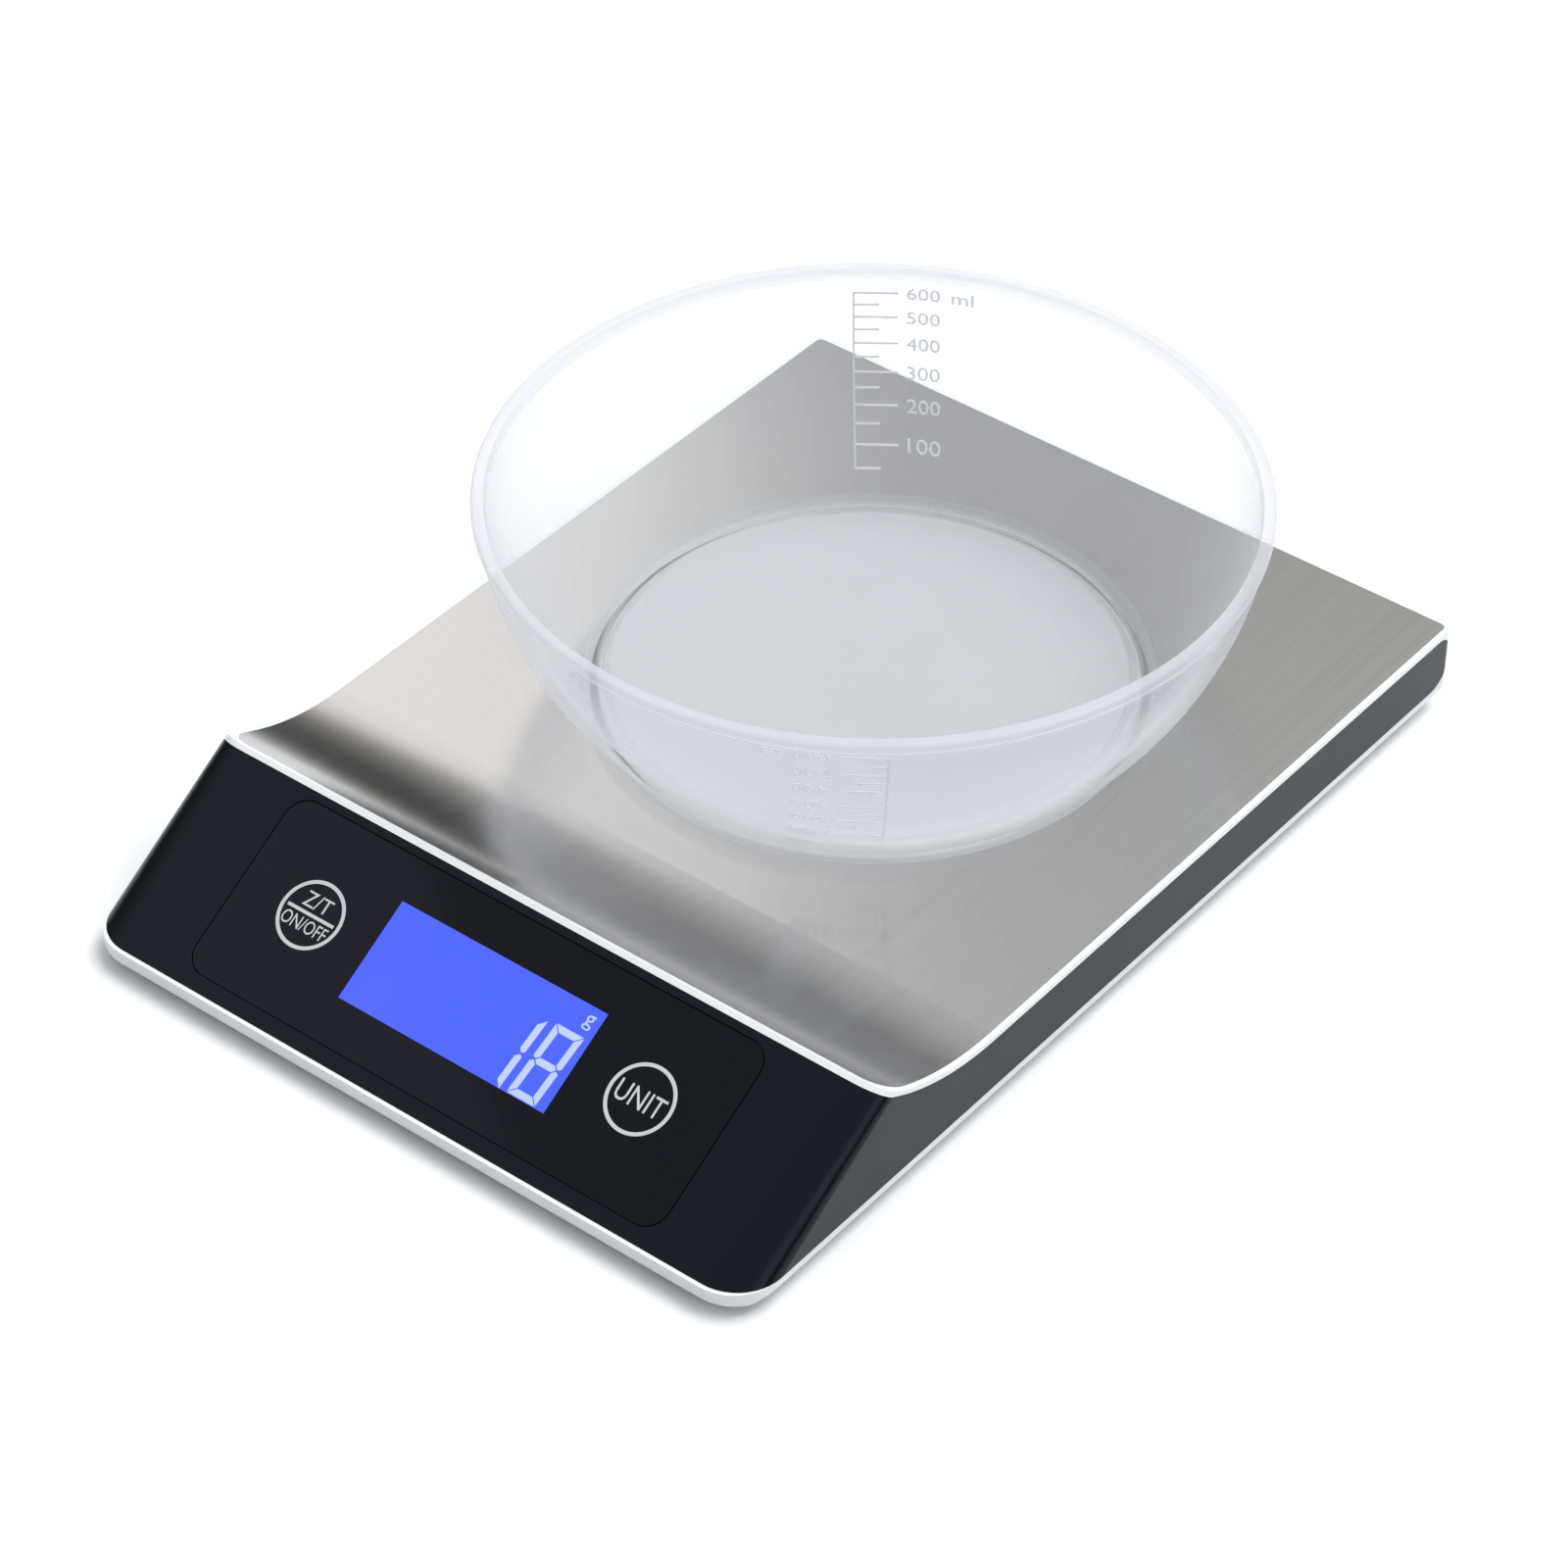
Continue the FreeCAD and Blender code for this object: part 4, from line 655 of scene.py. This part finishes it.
@dataclass
class Digit:
    """A seven-segment digit in the fascia's frame, placed by its top right corner."""

    right: float
    top: float
    width: float = 0.0070
    height: float = 0.0163
    stroke: float = 0.0015
    gap: float = 0.00016
    slant: float = 0.062

    LIT = {"1": "bc", "8": "abcdefg"}

    def bars(self) -> dict[str, Corners]:
        """The corners of each segment before the slant, from a at the top round to g."""
        w, h, s, g = self.width, self.height, self.stroke, self.gap
        half = h / 2
        across = [(g, 0.0), (w - g, 0.0), (w - s - g, -s), (s + g, -s)]
        middle = [(s * 0.55 + g, 0.0), (s + g, s / 2), (w - s - g, s / 2), (w - s * 0.55 - g, 0.0),
                  (w - s - g, -s / 2), (s + g, -s / 2)]
        upper = [(w, -g), (w, -half + s * 0.3 + g), (w - s * 0.45, -half + g),
                 (w - s, -half + s * 0.5 + g), (w - s, -s - g)]
        left = self.flipped(upper)
        return {"a": across, "d": self.lowered(across), "g": [(x, y - half) for x, y in middle],
                "b": upper, "c": self.lowered(upper), "f": left, "e": self.lowered(left)}

    def flipped(self, corners: Corners) -> Corners:
        """The same segment on the other side of the digit."""
        return [(self.width - x, y) for x, y in corners]

    def lowered(self, corners: Corners) -> Corners:
        """The same segment in the lower half of the digit."""
        return [(x, -self.height - y) for x, y in corners]

    def draw(self, bm: bmesh.types.BMesh, figure: str) -> None:
        """Add the lit segments of a figure to a flat drawing."""
        bars = self.bars()
        left = self.right - self.width
        for name in self.LIT[figure]:
            polygon(bm, [(left + x + y * self.slant, self.top + y) for x, y in bars[name]])


# ------------------------------------------------------------------ bowl

class WallSide(Enum):
    """A side of the bowl that bears marks, and its turn from the corner that faces the user."""

    NEAR = -math.pi / 2 + 0.03
    FAR = math.pi / 2 + 0.045


@dataclass
class Bowl:
    """The measuring bowl: a turned wall with its beaded rim, floor ring and volume marks."""

    finishes: Finishes
    rim_radius: float = 0.0814
    foot_radius: float = 0.0585
    foot_wall: float = 0.0022
    foot_height: float = 0.0032
    flare: float = 0.0006
    wall: float = 0.0018
    curve: float = 0.078
    rim_height: float = 0.0026
    rim_lip: float = 0.0008
    floor_gap: float = 0.0014
    rib_radius: float = 0.0552
    rib_rise: float = 0.0006
    rib_foot: float = 0.0016
    rib_top: float = 0.0008
    rib_slope: float = 0.0006
    foot_round: float = 0.0003
    segments: int = 192
    facing: float = math.radians(38.1)
    mark_relief: float = 0.00018
    mark_rise: float = 0.0012
    mark_half: float = 0.00018
    long_mark: float = 0.0095
    short_mark: float = 0.0055
    number_across: float = 0.0150
    unit_across: float = 0.0235
    number_height: float = 0.0026
    number_pitch: float = 0.0024
    bead: float = 0.0004

    def __post_init__(self) -> None:
        """Find the bowl's middle and height from its CAD node."""
        low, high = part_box("bowl")
        self.centre = Vector(((low.x + high.x) / 2, (low.y + high.y) / 2, low.z))
        self.height = high.z - low.z
        self.inner = Arc((self.rim_radius - self.rim_lip - self.wall, self.height),
                         (self.foot_radius - self.foot_wall, self.floor_gap + self.wall),
                         self.curve)
        self.outer = Arc((self.rim_radius - self.rim_lip, self.height - self.rim_height),
                         (self.foot_radius + self.flare, self.foot_height), self.curve)

    def build(self) -> None:
        """Make the bowl and its marks."""
        self.build_wall()
        self.build_marks()

    def section(self) -> list[tuple[float, float]]:
        """The half section, from the middle of the floor's top round to its underside."""
        floor = self.floor_gap + self.wall
        foot_inner = self.foot_radius - self.foot_wall
        rise = self.rib_rise
        bead = self.bead
        corner = (0.0, floor)
        ribs = [(self.rib_radius - self.rib_foot, floor),
                (self.rib_radius - self.rib_top, floor + rise), (self.rib_radius, floor + rise),
                (self.rib_radius + self.rib_slope, floor + rise * 0.2)]
        wall_in = self.inner.points(28, upwards=True)
        top = self.height
        rim = [(self.rim_radius - self.rim_lip - self.wall + 0.0003, top - 0.00005),
               (self.rim_radius - bead * 2, top), (self.rim_radius - bead, top - bead * 0.3),
               (self.rim_radius, top - bead * 1.4),
               (self.rim_radius, top - self.rim_height + self.rim_lip + bead),
               (self.rim_radius - bead * 0.3, top - self.rim_height + self.rim_lip),
               (self.rim_radius - self.rim_lip, top - self.rim_height)]
        wall_out = self.outer.points(28, upwards=False)[1:]
        turn = self.foot_round
        foot = [(self.foot_radius, turn), (self.foot_radius - turn, 0.0),
                (foot_inner + turn, 0.0), (foot_inner, turn), (foot_inner, self.floor_gap),
                (0.0, self.floor_gap)]
        return [corner, *ribs, *wall_in, *rim, *wall_out, *foot]

    def build_wall(self) -> None:
        """Turn the section into the bowl, which stands for its CAD node."""
        bm = bmesh.new()
        verts = [bm.verts.new((r, 0.0, z)) for r, z in self.section()]
        edges = [bm.edges.new(pair) for pair in zip(verts, verts[1:])]
        bmesh.ops.spin(bm, geom=verts + edges, cent=(0, 0, 0), axis=(0, 0, 1),
                       angle=math.tau, steps=self.segments, use_merge=True)
        bmesh.ops.remove_doubles(bm, verts=bm.verts, dist=0.000002)
        bmesh.ops.translate(bm, vec=self.centre, verts=bm.verts)
        piece = finish_piece(bm, "bowl_wall", BOWL_BODY,
                             self.finishes.get("clear_bowl"), smooth=True)
        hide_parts("bowl")

    def volume_heights(self) -> dict[int, float]:
        """The height of the inner wall's surface at which it holds each 50 ml step."""
        step = 0.00002
        level = self.floor_gap + self.wall
        held = 0.0
        heights: dict[int, float] = {}
        while level < self.height - 0.002:
            held += math.pi * self.inner.radius_at(level) ** 2 * step * 1e6
            level += step
            mark = (len(heights) + 1) * 50
            if held >= mark:
                heights[mark] = level
        return heights

    def build_marks(self) -> None:
        """The raised volume marks inside the bowl, on its near and far sides."""
        heights = self.volume_heights()
        shown = {mark: z + self.mark_rise for mark, z in heights.items() if mark <= 600}
        for side in WallSide:
            bm = bmesh.new()
            for mark, z in shown.items():
                self.build_mark(bm, mark, z)
            self.words(bm, "ml", self.unit_across, shown[600])
            self.bar(bm, (0.0, min(shown.values())), (0.0, max(shown.values())))
            self.wrap(bm, self.facing + side.value)
            finish_piece(bm, f"volume_marks_{side.name.lower()}", BOWL_BODY,
                         self.finishes.get("bowl_marks"))

    def build_mark(self, bm: bmesh.types.BMesh, mark: int, z: float) -> None:
        """Draw one volume's line, with its number if it is a full hundred."""
        full = mark % 100 == 0
        self.bar(bm, (0.0, z), (self.long_mark if full else self.short_mark, z))
        if full:
            self.words(bm, str(mark), self.number_across, z)

    def bar(self, bm: bmesh.types.BMesh, start: tuple[float, float],
            end: tuple[float, float]) -> None:
        """Draw a straight line between two points (across, height) of the wall."""
        wide = start[1] == end[1]
        side, rise = (0.0, self.mark_half) if wide else (self.mark_half, 0.0)
        steps = 1 if wide else 24
        left, right = start[0] - side, end[0] + side
        for index in range(steps):
            low, high = ((start[1] + (end[1] - start[1]) * n / steps)
                         for n in (index, index + 1))
            polygon(bm, [(left, low - rise), (right, low - rise),
                         (right, high + rise), (left, high + rise)])

    def words(self, bm: bmesh.types.BMesh, text: str, across: float, z: float) -> None:
        """Write a few characters beside a mark."""
        add_lettering(bm, text, (across, z), self.number_height, self.number_pitch * len(text))

    def wrap(self, bm: bmesh.types.BMesh, turn: float) -> None:
        """Bend a flat drawing (across, height) onto the inner wall, facing the bowl's middle."""
        thicken(bm, self.mark_relief)
        for vertex in bm.verts:
            across, z, out = vertex.co
            radius = self.inner.radius_at(z) + 0.0001 - out
            angle = turn - across / self.inner.radius_at(z)
            vertex.co = self.centre + Vector((radius * math.cos(angle),
                                              radius * math.sin(angle), z))


@dataclass
class Arc:
    """A wall's half section: an arc that bulges away from the axis, between two points."""

    top: tuple[float, float]
    foot: tuple[float, float]
    radius: float

    def __post_init__(self) -> None:
        """Find the arc's centre."""
        top, foot = Vector(self.top), Vector(self.foot)
        chord = foot - top
        reach = math.sqrt(self.radius ** 2 - (chord.length / 2) ** 2)
        inwards = Vector((chord.y, -chord.x)).normalized()
        self.centre = (top + foot) / 2 + inwards * reach

    def radius_at(self, z: float) -> float:
        """The wall's distance from the axis at a height."""
        fall = max(self.radius ** 2 - (z - self.centre.y) ** 2, 0.0)
        return self.centre.x + math.sqrt(fall)

    def points(self, count: int, upwards: bool) -> list[tuple[float, float]]:
        """Points along the arc, evenly spread in angle."""
        ends = [Vector(p) - self.centre for p in (self.foot, self.top)]
        angles = [math.atan2(end.y, end.x) for end in ends]
        spread = [angles[0] + (angles[1] - angles[0]) * n / count for n in range(count + 1)]
        if not upwards:
            spread.reverse()
        return [(self.centre.x + self.radius * math.cos(angle),
                 self.centre.y + self.radius * math.sin(angle)) for angle in spread]


# ------------------------------------------------------------------ studio

@dataclass(frozen=True)
class SoftBox:
    """A soft box that looks at the object."""

    name: str
    place: tuple[float, float, float]
    size: tuple[float, float]
    watts: float

    def hang(self) -> None:
        """Put the lamp in its place."""
        data = bpy.data.lights.new(self.name, "AREA")
        data.shape = "RECTANGLE"
        data.size, data.size_y = self.size
        data.energy = self.watts
        lamp = bpy.data.objects.new(self.name, data)
        look = (-Vector(self.place)).to_track_quat("-Z", "Y").to_matrix().to_4x4()
        lamp.matrix_world = Matrix.Translation(self.place) @ look
        bpy.context.scene.collection.objects.link(lamp)


@dataclass
class Studio:
    """The floor, the lights and the camera."""

    azimuth: float = 38.147
    elevation: float = 40.091
    roll: float = 0.34
    distance: float = 1.07776
    lens: float = 120.08
    target: tuple[float, float, float] = (-0.000575, 0.00038, 0.00944)
    dim_below: float = 0.22
    bright_above: float = 0.68
    dim: float = 0.06
    bright: float = 0.56
    lamps: tuple[SoftBox, ...] = (
        SoftBox("back_box", (-1.25, 0.75, 1.0), (1.0, 0.9), 2.2),
        SoftBox("top_box", (0.45, 0.9, 2.2), (2.0, 1.6), 56.0),
        SoftBox("right_box", (1.9, -0.2, 1.2), (1.2, 1.0), 4.0),
        SoftBox("left_box", (-1.4, -1.2, 1.6), (1.2, 1.0), 1.2),
    )

    def build(self) -> None:
        """Set up everything that is not the object."""
        self.build_camera()
        self.build_floor()
        self.build_lights()
        self.build_world()

    def build_camera(self) -> None:
        """The camera, at the front right and above."""
        turn, rise = math.radians(self.azimuth), math.radians(self.elevation)
        back = Vector((math.sin(turn) * math.cos(rise), -math.cos(turn) * math.cos(rise),
                       math.sin(rise)))
        right = (-back).cross(Vector((0, 0, 1))).normalized()
        up = right.cross(-back)
        c, s = math.cos(math.radians(self.roll)), math.sin(math.radians(self.roll))
        axes = Matrix((c * right + s * up, -s * right + c * up, back)).transposed()
        data = bpy.data.cameras.new("camera")
        data.lens = self.lens
        data.sensor_width = 36.0
        data.clip_start = 0.05
        data.clip_end = 50.0
        camera = bpy.data.objects.new("camera", data)
        camera.matrix_world = (Matrix.Translation(Vector(self.target) + back * self.distance)
                               @ axes.to_4x4())
        bpy.context.scene.collection.objects.link(camera)
        bpy.context.scene.camera = camera

    @staticmethod
    def build_floor() -> None:
        """A wide pale floor."""
        bm = bmesh.new()
        bmesh.ops.create_grid(bm, x_segments=1, y_segments=1, size=6.0)
        bmesh.ops.translate(bm, vec=(0, 0, -0.00002), verts=bm.verts)
        mesh = bpy.data.meshes.new("floor")
        bm.to_mesh(mesh)
        bm.free()
        recipe = Recipe("floor")
        cloud = recipe.noise((3.0,) * 3, 2.0)
        shade = recipe.blend(cloud, (0.9, 0.9, 0.915), (0.92, 0.92, 0.93))
        mesh.materials.append(recipe.cover(recipe.surface(Base_Color=shade, Roughness=0.9)))
        floor = bpy.data.objects.new("floor", mesh)
        bpy.context.scene.collection.objects.link(floor)

    def build_lights(self) -> None:
        """Hang every soft box."""
        for lamp in self.lamps:
            lamp.hang()

    def build_world(self) -> None:
        """A soft surround that is dim at the horizon and brighter above it."""
        world = bpy.data.worlds.new("studio")
        bpy.context.scene.world = world
        world.use_nodes = True
        tree = world.node_tree
        background = tree.nodes["Background"]
        place = tree.nodes.new("ShaderNodeTexCoord")
        height = tree.nodes.new("ShaderNodeSeparateXYZ")
        fade = tree.nodes.new("ShaderNodeMapRange")
        fade.interpolation_type = "SMOOTHSTEP"
        for name, value in (("From Min", self.dim_below), ("From Max", self.bright_above),
                            ("To Min", self.dim), ("To Max", self.bright)):
            fade.inputs[name].default_value = value
        tree.links.new(place.outputs["Generated"], height.inputs[0])
        tree.links.new(height.outputs["Z"], fade.inputs["Value"])
        tree.links.new(fade.outputs["Result"], background.inputs["Strength"])
        background.inputs["Color"].default_value = (0.97, 0.98, 1.0, 1.0)
        bpy.context.scene.view_settings.view_transform = "Standard"


def main() -> None:
    """Build the looks, in order."""
    logging.basicConfig(level=logging.INFO, format="%(message)s")
    finishes = Finishes()
    Studio().build()
    dress_nodes(finishes)
    Fascia(finishes).build()
    Bowl(finishes).build()


if __name__ == "__main__":
    main()
